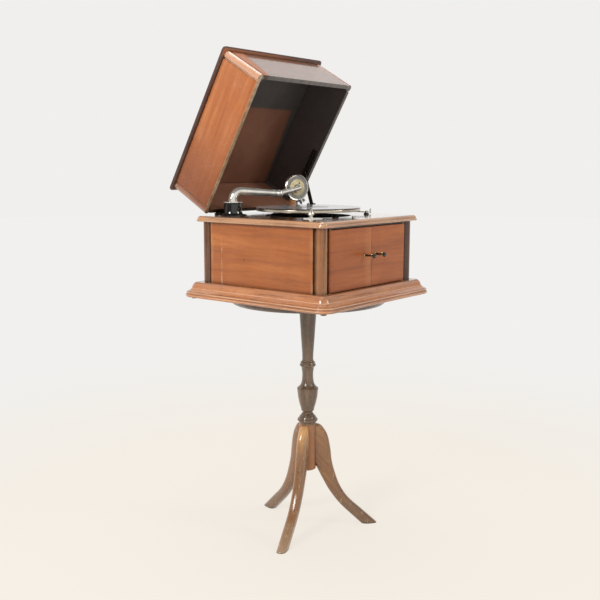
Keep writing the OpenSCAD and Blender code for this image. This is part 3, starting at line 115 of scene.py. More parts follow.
def new_group(name, inputs, outputs):
    """An empty node group with the sockets named."""
    tree = bpy.data.node_groups.new(name, "ShaderNodeTree")
    for label, kind, value in inputs:
        socket = tree.interface.new_socket(label, in_out="INPUT", socket_type=kind)
        if value is not None:
            socket.default_value = value
    for label, kind in outputs:
        tree.interface.new_socket(label, in_out="OUTPUT", socket_type=kind)
    return tree, tree.nodes.new("NodeGroupInput").outputs, tree.nodes.new("NodeGroupOutput")


# Grain of sawn or turned wood that runs along the vector's x, in metres
grain, given, result = new_group(
    "Wood grain",
    [("Vector", "NodeSocketVector", None), ("Dark", "NodeSocketColor", tone(90, 50, 30)),
     ("Middle", "NodeSocketColor", tone(160, 95, 60)),
     ("Light", "NodeSocketColor", tone(200, 130, 85)),
     ("Bands", "NodeSocketFloat", 26.0), ("Figure", "NodeSocketFloat", 1.0)],
    [("Color", "NodeSocketColor"), ("Height", "NodeSocketFloat")])
sway = noise(grain, given["Vector"], (1.7, 6.0, 6.0), 2.0).node.outputs["Color"]
sway = on_vectors(grain, "SUBTRACT", sway, (0.5, 0.5, 0.5))
sway = on_vectors(grain, "MULTIPLY", sway, (0.0, 0.05, 0.05))
bent = on_vectors(grain, "ADD", given["Vector"], sway)
wide = on_vectors(grain, "MULTIPLY", bent, join(grain, 1.5, given["Bands"], given["Bands"]))
bands = put(grain, "ShaderNodeTexNoise", {"Vector": wide, "Scale": 1.0, "Detail": 3.0,
                                          "Roughness": 0.6}).outputs[0]
streaks = noise(grain, bent, (6.0, 130.0, 130.0), 4.0)
fibre = noise(grain, bent, (18.0, 620.0, 620.0))
ribbon = noise(grain, bent, (34.0, 8.0, 8.0), 2.0)
pores = noise(grain, bent, (110.0, 1900.0, 1900.0), 1.0)
pores = stretch(grain, pores, 0.58, 0.72)
mixed = times(grain, stretch(grain, bands, 0.3, 0.7), 0.46)
mixed = calc(grain, "MULTIPLY_ADD", stretch(grain, streaks, 0.3, 0.7), 0.3, mixed)
mixed = calc(grain, "MULTIPLY_ADD", stretch(grain, fibre, 0.3, 0.7), 0.14, mixed)
mixed = calc(grain, "MULTIPLY_ADD", stretch(grain, ribbon, 0.3, 0.7), 0.1, mixed)
swing = calc(grain, "SUBTRACT", mixed, 0.5)
mixed = calc(grain, "MULTIPLY_ADD", swing, given["Figure"], 0.5)
colour = tint(grain, stretch(grain, mixed, 0.1, 0.52), given["Dark"], given["Middle"])
colour = tint(grain, stretch(grain, mixed, 0.5, 0.92), colour, given["Light"])
flecks = stretch(grain, noise(grain, bent, (48.0, 420.0, 420.0), 2.0), 0.58, 0.68)
colour = tint(grain, times(grain, flecks, 0.3), colour, given["Dark"])
colour = tint(grain, times(grain, pores, 0.35), colour, given["Dark"])
height = calc(grain, "MULTIPLY_ADD", fibre, 0.5, times(grain, streaks, 0.4))
height = calc(grain, "SUBTRACT", height, times(grain, pores, 0.6))
grain.links.new(colour, result.inputs["Color"])
grain.links.new(height, result.inputs["Height"])

# Wear on the edges that stick out, and the normal of an edge that is no longer sharp
wear, given, result = new_group(
    "Edge wear",
    [("Vector", "NodeSocketVector", None), ("Radius", "NodeSocketFloat", 0.0012),
     ("Amount", "NodeSocketFloat", 0.7)],
    [("Mask", "NodeSocketFloat"), ("Normal", "NodeSocketVector")])
eased = put(wear, "ShaderNodeBevel", {"Radius": given["Radius"]}, samples=4).outputs[0]
flat = put(wear, "ShaderNodeNewGeometry").outputs["Normal"]
edge = stretch(wear, on_vectors(wear, "DOT_PRODUCT", eased, flat), 0.999, 0.88)
patches = noise(wear, given["Vector"], 38.0, 4.0, 0.65)
patches = stretch(wear, patches, 0.34, 0.6)
edge = times(wear, edge, patches, given["Amount"])
wear.links.new(edge, result.inputs["Mask"])
wear.links.new(eased, result.inputs["Normal"])

# Old varnish: haze in patches, fine rubs and specks of dust
varnish, given, result = new_group(
    "Old varnish",
    [("Vector", "NodeSocketVector", None), ("Color", "NodeSocketColor", (0.5, 0.5, 0.5, 1)),
     ("Haze", "NodeSocketColor", tone(190, 165, 145)), ("Hazy", "NodeSocketFloat", 0.12),
     ("Polished", "NodeSocketFloat", 0.22), ("Rubbed", "NodeSocketFloat", 0.42)],
    [("Color", "NodeSocketColor"), ("Roughness", "NodeSocketFloat"),
     ("Height", "NodeSocketFloat")])
cloud = noise(varnish, given["Vector"], 9.0, 5.0, 0.6)
cloud = stretch(varnish, cloud, 0.36, 0.68)
rubs = noise(varnish, given["Vector"], (260.0, 30.0, 190.0), 3.0, 0.7)
rubs = stretch(varnish, rubs, 0.5, 0.74)
specks = put(varnish, "ShaderNodeTexVoronoi", {"Vector": given["Vector"], "Scale": 420.0},
             feature="F1")
near = stretch(varnish, specks.outputs["Distance"], 0.16, 0.08)
chosen = put(varnish, "ShaderNodeSeparateColor", {0: specks.outputs["Color"]}).outputs[0]
near = times(varnish, near, stretch(varnish, chosen, 0.86, 0.9))
veil = calc(varnish, "MULTIPLY_ADD", cloud, 0.6, times(varnish, rubs, 0.5))
veil = calc(varnish, "MAXIMUM", veil, near)
colour = tint(varnish, times(varnish, veil, given["Hazy"]), given["Color"], given["Haze"])
gloss = calc(varnish, "MULTIPLY_ADD", rubs, 0.4, times(varnish, cloud, 0.6))
span = calc(varnish, "SUBTRACT", given["Rubbed"], given["Polished"])
gloss = calc(varnish, "MULTIPLY_ADD", gloss, span, given["Polished"])
varnish.links.new(colour, result.inputs["Color"])
varnish.links.new(gloss, result.inputs["Roughness"])
varnish.links.new(times(varnish, rubs, -1.0), result.inputs["Height"])

# Old polish and dirt, and painted shade, collected where two pieces meet, in hollows and
# under overhangs
grime_and_shade, given, result = new_group(
    "Grime and painted shade",
    [("Vector", "NodeSocketVector", None), ("Color", "NodeSocketColor", (0.5, 0.5, 0.5, 1)),
     ("Dirt and shade", "NodeSocketColor", tone(38, 25, 18)), ("Reach", "NodeSocketFloat", 0.01),
     ("Amount", "NodeSocketFloat", 0.75)],
    [("Color", "NodeSocketColor")])
# Ambient occlusion darkens hollows, corners and the undersides of overhangs: painted shade
# along with the dirt
open_sky = put(grime_and_shade, "ShaderNodeAmbientOcclusion", {"Distance": given["Reach"]},
               samples=6).outputs["AO"]
shade_and_dirt_share = stretch(grime_and_shade, open_sky, 0.86, 0.34)
uneven = noise(grime_and_shade, given["Vector"], 70.0)
uneven = stretch(grime_and_shade, uneven, 0.2, 0.6, 0.6, 1.0)
shade_and_dirt_share = times(grime_and_shade, shade_and_dirt_share, uneven, given["Amount"])
grime_and_shade.links.new(tint(grime_and_shade, shade_and_dirt_share, given["Color"], given["Dirt and shade"]), result.inputs["Color"])

# Turns that lay the grain along a piece: the vector's x follows the wood's length
ALONG_X = (0.0, 0.0, 0.0)
ALONG_Y = (0.0, 0.0, -math.pi / 2)
ALONG_Z = (0.0, math.pi / 2, 0.0)

# How deep the relief of the grain is
GRAIN_DEPTH = 0.0004


def own_place(tree):
    """The piece's own coordinates, in metres."""
    return put(tree, "ShaderNodeTexCoord").outputs["Object"]


def split(tree, vector):
    """A vector's x, y and z."""
    return put(tree, "ShaderNodeSeparateXYZ", {0: vector}).outputs


def new_material(name):
    """A material, its node tree and its shader."""
    material = bpy.data.materials.new(name)
    material.use_nodes = True
    tree = material.node_tree
    return material, tree, tree.nodes["Principled BSDF"]


def dress(tree, shader, colour, gloss, height, strength, depth, normal=None):
    """Gives a shader its colour, its roughness and its fine relief."""
    tree.links.new(colour, shader.inputs["Base Color"])
    tree.links.new(gloss, shader.inputs["Roughness"])
    inputs = {"Height": height, "Strength": strength, "Distance": depth}
    if normal:
        inputs["Normal"] = normal
    relief = put(tree, "ShaderNodeBump", inputs).outputs[0]
    tree.links.new(relief, shader.inputs["Normal"])


def effect(tree, group, vector, **values):
    """Places a node group with its own values, and gives its outputs."""
    return put(tree, "ShaderNodeGroup", {"Vector": vector, **values}, node_tree=group).outputs


def rotated(tree, vector, turn, shift=(0.0, 0.0, 0.0)):
    """Coordinates turned, then shifted."""
    inputs = {"Vector": vector, "Location": shift, "Rotation": turn}
    return put(tree, "ShaderNodeMapping", inputs).outputs[0]


def placed(tree, turn=ALONG_X, shift=(0.0, 0.0, 0.0)):
    """The piece's own coordinates in metres, turned and shifted."""
    return rotated(tree, own_place(tree), turn, shift)


def wood(name, dark, middle, light, turn=ALONG_X, bands=26.0, figure=1.0, worn=None,
         wear_amount=0.6, polished=0.2, rubbed=0.4, hazy=0.1, coat=0.25, coat_rough=0.09,
         bump=0.25, dirt_and_shade=0.75, reach=0.01, vector=None, paint=None):
    """Varnished wood; paint(tree, colour, vector) may lay more over its colour."""
    material, tree, shader = new_material(name)
    along = vector(tree) if vector else placed(tree, turn)
    here = own_place(tree)
    cut = effect(tree, grain, along, Dark=tone(*dark), Middle=tone(*middle),
                 Light=tone(*light), Bands=bands, Figure=figure)
    rub = effect(tree, wear, here, Amount=wear_amount)
    pale = [min(255, c * 1.12 + 14) for c in light]
    colour = tint(tree, rub["Mask"], cut["Color"], tone(*(worn or pale)))
    if paint:
        colour = paint(tree, colour, here)
    colour = effect(tree, grime_and_shade, here, Color=colour, Amount=dirt_and_shade, Reach=reach)["Color"]
    skin = effect(tree, varnish, here, Color=colour, Hazy=hazy, Polished=polished,
                  Rubbed=rubbed)
    relief = calc(tree, "ADD", cut["Height"], skin["Height"])
    dress(tree, shader, skin["Color"], skin["Roughness"], relief, bump, GRAIN_DEPTH,
          rub["Normal"])
    shader.inputs["Coat Weight"].default_value = coat
    shader.inputs["Coat Roughness"].default_value = coat_rough
    return material


def finish_nodes(material, *names):
    """Gives the CAD pieces named one finish."""
    for name in names:
        for slot in nodes[name].material_slots:
            slot.material = material


HUB_EDGE = 0.276


def hub_tone(tree, colour, here):
    """The hub keeps the golden brown of the legs that are let into it."""
    level = split(tree, here)[2]
    ragged = noise(tree, here, (40.0, 40.0, 10.0))
    level = calc(tree, "MULTIPLY_ADD", ragged, 0.016, level)
    share = stretch(tree, level, HUB_EDGE + 0.008, HUB_EDGE - 0.008)
    golden = tint(tree, 1.0, colour, tone(255, 190, 122), "MULTIPLY")
    golden = tint(tree, 1.0, golden, tone(130, 86, 48), "ADD")
    return tint(tree, share, colour, golden)


column_wood = wood("column_wood", (54, 42, 31), (94, 75, 57), (134, 107, 82), ALONG_Z,
                   bands=60.0, figure=0.8, wear_amount=0.8, polished=0.18, rubbed=0.34,
                   hazy=0.12, coat=0.4, paint=hub_tone)
finish_nodes(column_wood, "stand_column")


# ------------------------------------------------------------------------ legs
# Three legs, bandsawn from thick board and rounded with a spokeshave, tenoned into the
# column's hub. They sweep down from the hub to flat toes, and are varnished golden brown.

STAND_TURN = -13.5
HUB_R = 0.021
TOE_R = 0.180
LEG_H = 0.270
LEG_W = 0.025
LEG_OUTER = [(-0.02, 1), (0.078, 0.98), (0.155, 0.92), (0.2, 0.855), (0.236, 0.744),
             (0.259, 0.63), (0.314, 0.507), (0.392, 0.386), (0.527, 0.263),
             (0.751, 0.137), (1, 0)]
LEG_INNER = [(-0.05, 0.9), (-0.05, 0.84), (-0.05, 0.775), (-0.05, 0.72), (-0.045, 0.645),
             (0.019, 0.567), (0.115, 0.453), (0.226, 0.335), (0.398, 0.2),
             (0.639, 0.059), (0.744, 0)]


def smooth_curve(points, steps):
    """A curve through all the points, with equal steps between one and the next."""
    curve = []
    last = len(points) - 1
    for i in range(last):
        p0, p1, p2, p3 = [Vector(points[min(max(i + k, 0), last)]) for k in (-1, 0, 1, 2)]
        for t in [k / steps for k in range(steps)]:
            curve.append(0.5 * (2 * p1 + (p2 - p0) * t
                                + (2 * p0 - 5 * p1 + 4 * p2 - p3) * t * t
                                + (3 * p1 - p0 - 3 * p2 + p3) * t ** 3))
    return curve + [Vector(points[last])]


def new_piece(name, points, faces, material, body, slot, *stands_for):
    """A mesh piece of the object, smooth all over, on the body named. The slot is not used.
    """
    mesh = bpy.data.meshes.new(name)
    mesh.from_pydata(points, [], faces)
    mesh.polygons.foreach_set("use_smooth", [True] * len(mesh.polygons))
    mesh.materials.append(material)
    piece = bpy.data.objects.new(name, mesh)
    bpy.context.collection.objects.link(piece)
    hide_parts(*stands_for)
    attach(piece, body)
    return piece


def soft_power(value, power):
    return math.copysign(abs(value) ** power, value)


def leg_mesh(turn, sides=40, steps=9):
    """Rings of points down the leg, each square to its sweep, and their faces."""
    outer = [(HUB_R + x * (TOE_R - HUB_R), z * LEG_H)
             for x, z in smooth_curve(LEG_OUTER, steps)]
    inner = [(HUB_R + x * (TOE_R - HUB_R), z * LEG_H)
             for x, z in smooth_curve(LEG_INNER, steps)]
    spin = Matrix.Rotation(math.radians(STAND_TURN + turn), 3, "Z")
    points = []
    for i, (out, inn) in enumerate(zip(outer, inner)):
        middle = (Vector(out) + Vector(inn)) / 2
        half = (Vector(out) - Vector(inn)) / 2
        width = LEG_W / 2 * (0.75 + 0.25 * min(1, i / steps))
        for k in range(sides):
            a = 2 * math.pi * k / sides
            s = soft_power(math.cos(a), 0.75)
            w = soft_power(math.sin(a), 0.75) * width
            points.append(spin @ Vector((middle.x + half.x * s, w, middle.y + half.y * s)))
    rings = len(outer)
    faces = [[i * sides + k, i * sides + (k + 1) % sides, (i + 1) * sides + (k + 1) % sides,
              (i + 1) * sides + k] for i in range(rings - 1) for k in range(sides)]
    faces.append(list(range(sides - 1, -1, -1)))
    faces.append([(rings - 1) * sides + k for k in range(sides)])
    return points, faces


NEAR_LEG = 2


def leg_highlight_and_tones(number):
    """The leg nearest the viewer gets a painted golden highlight on its shoulder and paler
    toes, partly wear and partly painted highlight; the others get darker towards the toes.
    """
    def paint(tree, colour, here):
        level = split(tree, here)[2]
        ragged = noise(tree, here, 30.0, 4.0)
        ragged = calc(tree, "MULTIPLY_ADD", ragged, 0.06, level)
        if number == NEAR_LEG:
            golden = stretch(tree, ragged, 0.22, 0.3, 0.0, 0.75)
            colour = tint(tree, golden, colour, tone(226, 168, 104))
            low = times(tree, stretch(tree, ragged, 0.11, 0.03), 0.5)
            colour = tint(tree, low, colour, tone(196, 172, 146))
        else:
            low = times(tree, stretch(tree, ragged, 0.2, 0.05), 0.6)
            colour = tint(tree, low, colour, tone(92, 68, 46))
        knocks = noise(tree, here, (120.0, 120.0, 34.0), 4.0)
        knocks = stretch(tree, knocks, 0.6, 0.68, 0.0, 0.4)
        return tint(tree, knocks, colour, tone(206, 176, 142))
    return paint


# The grain follows each leg's slope, out and down from the hub
LEG_SLOPE = (0.0, math.radians(-50), 0.0)

for number, turn in ((1, 90), (2, 210), (3, 330)):
    heading = -math.radians(STAND_TURN + turn)

    def down_the_leg(tree, heading=heading):
        return rotated(tree, placed(tree, (0.0, 0.0, heading)), LEG_SLOPE)

    leg_wood = wood("leg_wood_%d" % number, (100, 62, 30), (136, 90, 48), (166, 122, 76),
                    bands=30.0, figure=0.7, worn=(214, 182, 146), wear_amount=0.75,
                    polished=0.18, rubbed=0.34, coat=0.8, coat_rough=0.2,
                    vector=down_the_leg, paint=leg_highlight_and_tones(number))
    points, faces = leg_mesh(turn)
    new_piece("sweep_leg_%d" % number, points, faces, leg_wood, "cabinet", "stand_wood",
              "leg_%d" % number)


# ------------------------------------------------------------------- stand top
# The round board on top of the column, glued up from planks and turned with a rounded
# lower edge, with the four steel screws that hold the cabinet down from below.

disc_wood = wood("disc_wood", (40, 32, 28), (84, 66, 56), (120, 96, 80), ALONG_X, bands=20.0,
                 polished=0.22, hazy=0.12, coat=0.3)
finish_nodes(disc_wood, "stand_top")

# Metal with a skin of tarnish, fine scratches and finger marks
patina, given, result = new_group(
    "Tarnish",
    [("Vector", "NodeSocketVector", None), ("Clean", "NodeSocketColor", tone(200, 198, 192)),
     ("Dull", "NodeSocketColor", tone(140, 124, 100)), ("Amount", "NodeSocketFloat", 0.4),
     ("Polished", "NodeSocketFloat", 0.1), ("Rubbed", "NodeSocketFloat", 0.35)],
    [("Color", "NodeSocketColor"), ("Roughness", "NodeSocketFloat"),
     ("Height", "NodeSocketFloat")])
blots = noise(patina, given["Vector"], 46.0, 6.0, 0.62)
blots = stretch(patina, blots, 0.42, 0.7)
spots = noise(patina, given["Vector"], 310.0, 2.0)
spots = stretch(patina, spots, 0.6, 0.72)
lines = noise(patina, given["Vector"], (60.0, 900.0, 400.0), 2.0, 0.7)
lines = stretch(patina, lines, 0.5, 0.7)
dulled = calc(patina, "MULTIPLY_ADD", spots, 0.4, blots)
dulled = times(patina, dulled, given["Amount"])
patina.links.new(tint(patina, dulled, given["Clean"], given["Dull"]), result.inputs["Color"])
gloss = calc(patina, "MULTIPLY_ADD", lines, 0.35, times(patina, dulled, 0.8))
span = calc(patina, "SUBTRACT", given["Rubbed"], given["Polished"])
gloss = calc(patina, "MULTIPLY_ADD", gloss, span, given["Polished"])
patina.links.new(gloss, result.inputs["Roughness"])
relief = calc(patina, "MULTIPLY_ADD", lines, -0.3, times(patina, spots, -0.5))
patina.links.new(relief, result.inputs["Height"])


# How deep the relief of tarnish and scratches is
SKIN_DEPTH = 0.0003


def metal(name, clean, dull, amount=0.4, polished=0.1, rubbed=0.35, metallic=1.0,
          bump=0.15, wear_amount=0.0, worn=(220, 216, 208), coat=0.0, paint=None):
    """Metal or enamelled metal; paint(tree, colour, vector) may lay more over its colour."""
    material, tree, shader = new_material(name)
    here = own_place(tree)
    skin = effect(tree, patina, here, Clean=tone(*clean), Dull=tone(*dull), Amount=amount,
                  Polished=polished, Rubbed=rubbed)
    rub = effect(tree, wear, here, Radius=0.0005, Amount=wear_amount)
    colour = tint(tree, rub["Mask"], skin["Color"], tone(*worn))
    if paint:
        colour = paint(tree, colour, here)
    dress(tree, shader, colour, skin["Roughness"], skin["Height"], bump, SKIN_DEPTH,
          rub["Normal"])
    shader.inputs["Metallic"].default_value = metallic
    shader.inputs["Coat Weight"].default_value = coat
    return material


steel = metal("bright_steel", (168, 168, 166), (110, 96, 80), amount=0.5, polished=0.2,
              rubbed=0.45)
finish_nodes(steel, "wood_screws")


# --------------------------------------------------- base board, plinth and feet
# A pine bottom board inside four lengths of moulded mahogany, mitred and glued at the
# corners, with an ogee, a reed and a bead run along them. Four iron buttons are the feet.


def lengthwise(tree, here, inner=0.0):
    """Turns x to follow the nearer side of a square, outside a plain middle part."""
    parts = split(tree, here)
    reach = [calc(tree, "ABSOLUTE", parts[i]) for i in (0, 1)]
    side = calc(tree, "GREATER_THAN", reach[0], reach[1])
    edge = calc(tree, "GREATER_THAN", calc(tree, "MAXIMUM", *reach), inner)
    crossed = join(tree, parts[1], parts[0], parts[2])
    inputs = {0: times(tree, side, edge), 4: here, 5: crossed}
    return put(tree, "ShaderNodeMix", inputs, data_type="VECTOR").outputs[1]


def by_length(tree):
    return lengthwise(tree, placed(tree))


PLINTH_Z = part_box("plinth_mouldings")[0].z
GROOVE_SHADE = tone(78, 42, 28)
REED_HIGHLIGHT = tone(232, 184, 146)
# Dark lines: painted shade in the grooves; pale lines: painted highlights on the reeds
# Each line's height above the moulding's underside, half its width, and its colour
MOULDING_LINES = ((0.0078, 0.0009, GROOVE_SHADE), (0.0132, 0.0009, GROOVE_SHADE), (0.0045, 0.0011, REED_HIGHLIGHT),
                  (0.0104, 0.0010, REED_HIGHLIGHT), (0.0205, 0.0010, REED_HIGHLIGHT))


def quirks(tree, colour, here):
    """Painted shade in the two grooves of the moulding, and a painted highlight along the
    crest of its reeds.
    """
    level = split(tree, here)[2]
    broken = noise(tree, here, 24.0, 4.0, 0.65)
    blotches = stretch(tree, broken, 0.54, 0.7, 0.0, 0.35)
    colour = tint(tree, blotches, colour, tone(128, 84, 74))
    for height, half, seen in MOULDING_LINES:
        off = calc(tree, "SUBTRACT", level, PLINTH_Z + height)
        line = stretch(tree, calc(tree, "ABSOLUTE", off), half, half * 0.4)
        line = times(tree, line, stretch(tree, broken, 0.3, 0.55, 0.25, 0.7))
        colour = tint(tree, line, colour, seen)
    return colour


moulding_wood = wood("moulding_wood", (122, 74, 42), (188, 121, 76), (214, 150, 102),
                     bands=60.0, figure=0.9, worn=(222, 164, 116), wear_amount=0.7,
                     polished=0.12, rubbed=0.3, hazy=0.16, coat=0.5, dirt_and_shade=0.9, reach=0.005,
                     vector=by_length, paint=quirks)
finish_nodes(moulding_wood, "plinth_mouldings")
bottom_wood = wood("bottom_wood", (84, 58, 40), (136, 100, 70), (166, 126, 90), ALONG_X,
                   polished=0.5, rubbed=0.7, hazy=0.3, coat=0.0)
finish_nodes(bottom_wood, "base_board")
black_iron = metal("black_iron", (26, 25, 26), (52, 46, 42), polished=0.28, rubbed=0.5,
                   metallic=0.0, wear_amount=0.35, worn=(110, 104, 98))
finish_nodes(black_iron, "cabinet_feet")


# ------------------------------------------------------ corner posts and panels
# Four corner posts with a round column between two quirks, and plain mahogany boards let
# in between them, with their grain lying level. The left board has an old scratch.

def post_shade(tree, colour, here):
    """Painted shade: the posts away from the viewer are darkened; the one nearest the viewer
    keeps its golden tone.
    """
    parts = split(tree, here)
    corner = calc(tree, "ADD", parts[0], parts[1])
    dark = stretch(tree, corner, -0.33, -0.2)
    dark = times(tree, dark, stretch(tree, parts[0], -0.1, 0.1, 0.6, 1.0))
    shaded = tint(tree, 1.0, colour, tone(148, 122, 108), "MULTIPLY")
    return tint(tree, dark, colour, shaded)


post_wood = wood("post_wood", (72, 42, 20), (146, 90, 40), (178, 122, 68), ALONG_Z,
                 bands=80.0, figure=0.8, worn=(200, 150, 98), wear_amount=0.7,
                 polished=0.14, rubbed=0.3, coat=0.5, dirt_and_shade=0.9, paint=post_shade)
finish_nodes(post_wood, "corner_posts")

PANEL_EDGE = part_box("side_panel_left")[1].y
SCRATCH_Y = 0.118


def panel_marks(tree, colour, here):
    """Paler edges where the board meets its posts, and the old upright scratch."""
    parts = split(tree, here)
    from_middle = calc(tree, "ABSOLUTE", parts[1])
    side = stretch(tree, from_middle, PANEL_EDGE - 0.012, PANEL_EDGE)
    ragged = stretch(tree, noise(tree, here, (60.0, 60.0, 14.0), 4.0), 0.35, 0.65)
    side = times(tree, side, ragged, 0.55)
    colour = tint(tree, side, colour, tone(206, 160, 120))
    off = calc(tree, "SUBTRACT", parts[1], SCRATCH_Y)
    wander = calc(tree, "MULTIPLY_ADD", noise(tree, here, (0.0, 0.0, 22.0)), 0.006, -0.003)
    line = calc(tree, "ABSOLUTE", calc(tree, "ADD", off, wander))
    line = stretch(tree, line, 0.0022, 0.0006)
    broken = stretch(tree, noise(tree, here, (90.0, 90.0, 46.0)), 0.42, 0.56)
    left = calc(tree, "LESS_THAN", parts[0], 0.0)
    line = times(tree, line, broken, left, 0.75)
    return tint(tree, line, colour, tone(214, 170, 132))


panel_wood = wood("panel_wood", (142, 76, 30), (166, 92, 36), (188, 114, 54), ALONG_Y,
                  bands=30.0, figure=0.8, wear_amount=0.4, polished=0.26, rubbed=0.42,
                  hazy=0.07, coat=0.15, dirt_and_shade=0.85, paint=panel_marks)
finish_nodes(panel_wood, "side_panel_left", "side_panel_right")
back_wood = wood("back_wood", (138, 74, 30), (162, 92, 38), (184, 112, 56), ALONG_X,
                 bands=30.0, figure=0.8, wear_amount=0.4, polished=0.26, rubbed=0.42,
                 hazy=0.07, coat=0.15)
finish_nodes(back_wood, "back_panel")


# ------------------------------------------------------- front frame and doors
# Two doors of mahogany board close the horn's mouth against a dark stop frame, on brass
# pins let into their ends. Each has a turned black knob on a brass rose.

# The dark tones of this frame are partly painted shade above the doors, under the motor
# board's overhang.
frame_wood = wood("frame_wood", (40, 26, 18), (78, 50, 34), (104, 70, 48), ALONG_X,
                  polished=0.35, rubbed=0.55, hazy=0.15, coat=0.1)
finish_nodes(frame_wood, "front_frame")
split_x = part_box("left_door")[1].x


def door_edge(tree, colour, here):
    """The left door is rubbed paler beside the line where the doors meet."""
    across = split(tree, here)[0]
    strip = stretch(tree, across, split_x - 0.034, split_x - 0.006)
    strip = times(tree, strip, calc(tree, "LESS_THAN", across, split_x + 0.0002))
    ragged = noise(tree, here, (50.0, 50.0, 14.0))
    strip = times(tree, strip, stretch(tree, ragged, 0.2, 0.7, 0.15, 0.5))
    return tint(tree, strip, colour, tone(206, 134, 82))


door_wood = wood("door_wood", (140, 70, 24), (172, 91, 33), (194, 113, 52), ALONG_X,
                 bands=32.0, figure=0.8, wear_amount=0.75, worn=(206, 150, 104),
                 polished=0.32, rubbed=0.46, hazy=0.03, coat=0.05, dirt_and_shade=0.9,
                 paint=door_edge)
finish_nodes(door_wood, "left_door", "right_door")
brass = metal("old_brass", (190, 156, 92), (112, 84, 48), amount=0.6, polished=0.18,
              rubbed=0.42)
finish_nodes(brass, "door_pivot_pins")

knob_low, knob_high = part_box("left_knob")
ROSE_T = 0.0021
COLLAR_DEPTH = 0.635 * (knob_high.y - knob_low.y)
COLLAR_HALF = 0.0012


def knob_material(name):
    """Black turned wood with brass at the rose and at the collar of the head."""
    material, tree, shader = new_material(name)
    here = own_place(tree)
    depth = calc(tree, "SUBTRACT", knob_high.y, split(tree, here)[1])
    rose = calc(tree, "LESS_THAN", depth, ROSE_T)
    collar = calc(tree, "ABSOLUTE", calc(tree, "SUBTRACT", depth, COLLAR_DEPTH))
    collar = calc(tree, "LESS_THAN", collar, COLLAR_HALF)
    shiny = calc(tree, "MAXIMUM", rose, collar)
    cut = effect(tree, grain, placed(tree, ALONG_Y), Dark=tone(18, 15, 14),
                 Middle=tone(44, 34, 30), Light=tone(74, 58, 48), Bands=160.0)
    skin = effect(tree, patina, here, Clean=tone(206, 178, 122), Dull=tone(120, 92, 54))
    colour = tint(tree, shiny, cut["Color"], skin["Color"])
    tree.links.new(shiny, shader.inputs["Metallic"])
    gloss = calc(tree, "MULTIPLY_ADD", skin["Roughness"], 0.6, 0.06)
    dress(tree, shader, colour, gloss, cut["Height"], 0.2, SKIN_DEPTH)
    shader.inputs["Coat Weight"].default_value = 0.6
    shader.inputs["Coat Roughness"].default_value = 0.08
    return material


finish_nodes(knob_material("door_knob_finish"), "left_knob", "right_knob")


# ------------------------------------------------------ motor board and the horn
# The motor board is a thick mahogany board with a moulded edge, French polished to a
# mirror. Below it hangs the horn, folded from painted sheet, with its cast throat.

deck_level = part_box("motor_board")[1].z
DECK_INNER = 0.17
# Radius of the black felting under the turntable, which is also painted shade
FELT_SHADE_R = 0.103


def deck_grain(tree):
    return lengthwise(tree, placed(tree), DECK_INNER)


def from_axis(tree, x, y):
    """How far a point lies from an upright axis."""
    return on_vectors(tree, "LENGTH", join(tree, x, y))


def felt_and_shade_under_turntable(tree):
    """1 on the round of black felting glued under the turntable, which is also painted shade
    there.
    """
    here = own_place(tree)
    parts = split(tree, here)
    away = from_axis(tree, parts[0], parts[1])
    top = calc(tree, "GREATER_THAN", parts[2], deck_level - 0.0003)
    return times(tree, stretch(tree, away, FELT_SHADE_R, FELT_SHADE_R - 0.0008), top)


def deck_top(tree, colour, here):
    """The flat top is coloured darker than its moulded edge, and carries the black felting
    that is also painted shade under the turntable.
    """
    level = split(tree, here)[2]
    share = stretch(tree, level, deck_level - 0.0012, deck_level - 0.0003)
    colour = tint(tree, times(tree, share, 0.6), colour, tone(116, 80, 60))
    nap = noise(tree, here, 700.0)
    felt_shade = tint(tree, nap, tone(34, 32, 32), tone(62, 58, 57))
    return tint(tree, felt_and_shade_under_turntable(tree), colour, felt_shade)


def dull_where(material, find, rough, coat):
    """A dull surface without its coat of varnish where find(tree) gives 1."""
    tree = material.node_tree
    shader = tree.nodes["Principled BSDF"]
    share = find(tree)
    polish = shader.inputs["Roughness"].links[0].from_socket
    duller = times(tree, share, calc(tree, "SUBTRACT", rough, polish))
    tree.links.new(calc(tree, "ADD", polish, duller), shader.inputs["Roughness"])
    outside = calc(tree, "SUBTRACT", 1.0, share)
    tree.links.new(times(tree, outside, coat), shader.inputs["Coat Weight"])


# The board's light tones and broad pale wear on its moulded edge are partly painted highlight
# on that edge.
board_wood = wood("board_wood", (134, 92, 62), (192, 142, 104), (220, 178, 136), bands=36.0,
                  figure=0.8, worn=(228, 190, 150), wear_amount=0.9, polished=0.05,
                  rubbed=0.15, bump=0.08, vector=deck_grain, paint=deck_top)
dull_where(board_wood, felt_and_shade_under_turntable, 0.95, 0.9)
finish_nodes(board_wood, "motor_board")
horn_paint = metal("horn_paint", (58, 62, 56), (92, 82, 66), amount=0.5, polished=0.4,
                   rubbed=0.6, metallic=0.0, wear_amount=0.3, worn=(120, 112, 98))
finish_nodes(horn_paint, "horn")


# ------------------------------------------------------------ motor under the board
# The spring motor: a cast frame bolted up under the board, steel shafts and wheels, brass
# lay shaft and governor, and the spring in its barrel.

cast_iron = metal("cast_iron", (64, 70, 66), (88, 78, 64), amount=0.5, polished=0.45,
                  rubbed=0.65, metallic=0.0, wear_amount=0.3, worn=(128, 124, 116),
                  bump=0.4)
finish_nodes(cast_iron, "motor_frame")
finish_nodes(steel, "spindle", "spring_barrel", "mainspring", "winding_shaft")
finish_nodes(brass, "lay_shaft", "barrel_cap", "governor", "speed_lever")


# -------------------------------------------------------------- turntable and record
# A pressed steel turntable with a nickelled rim turns on the tapered spindle and carries a
# shellac record: black, with fine grooves that ring the light, and a plain paper label.

platter_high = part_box("platter")[1]


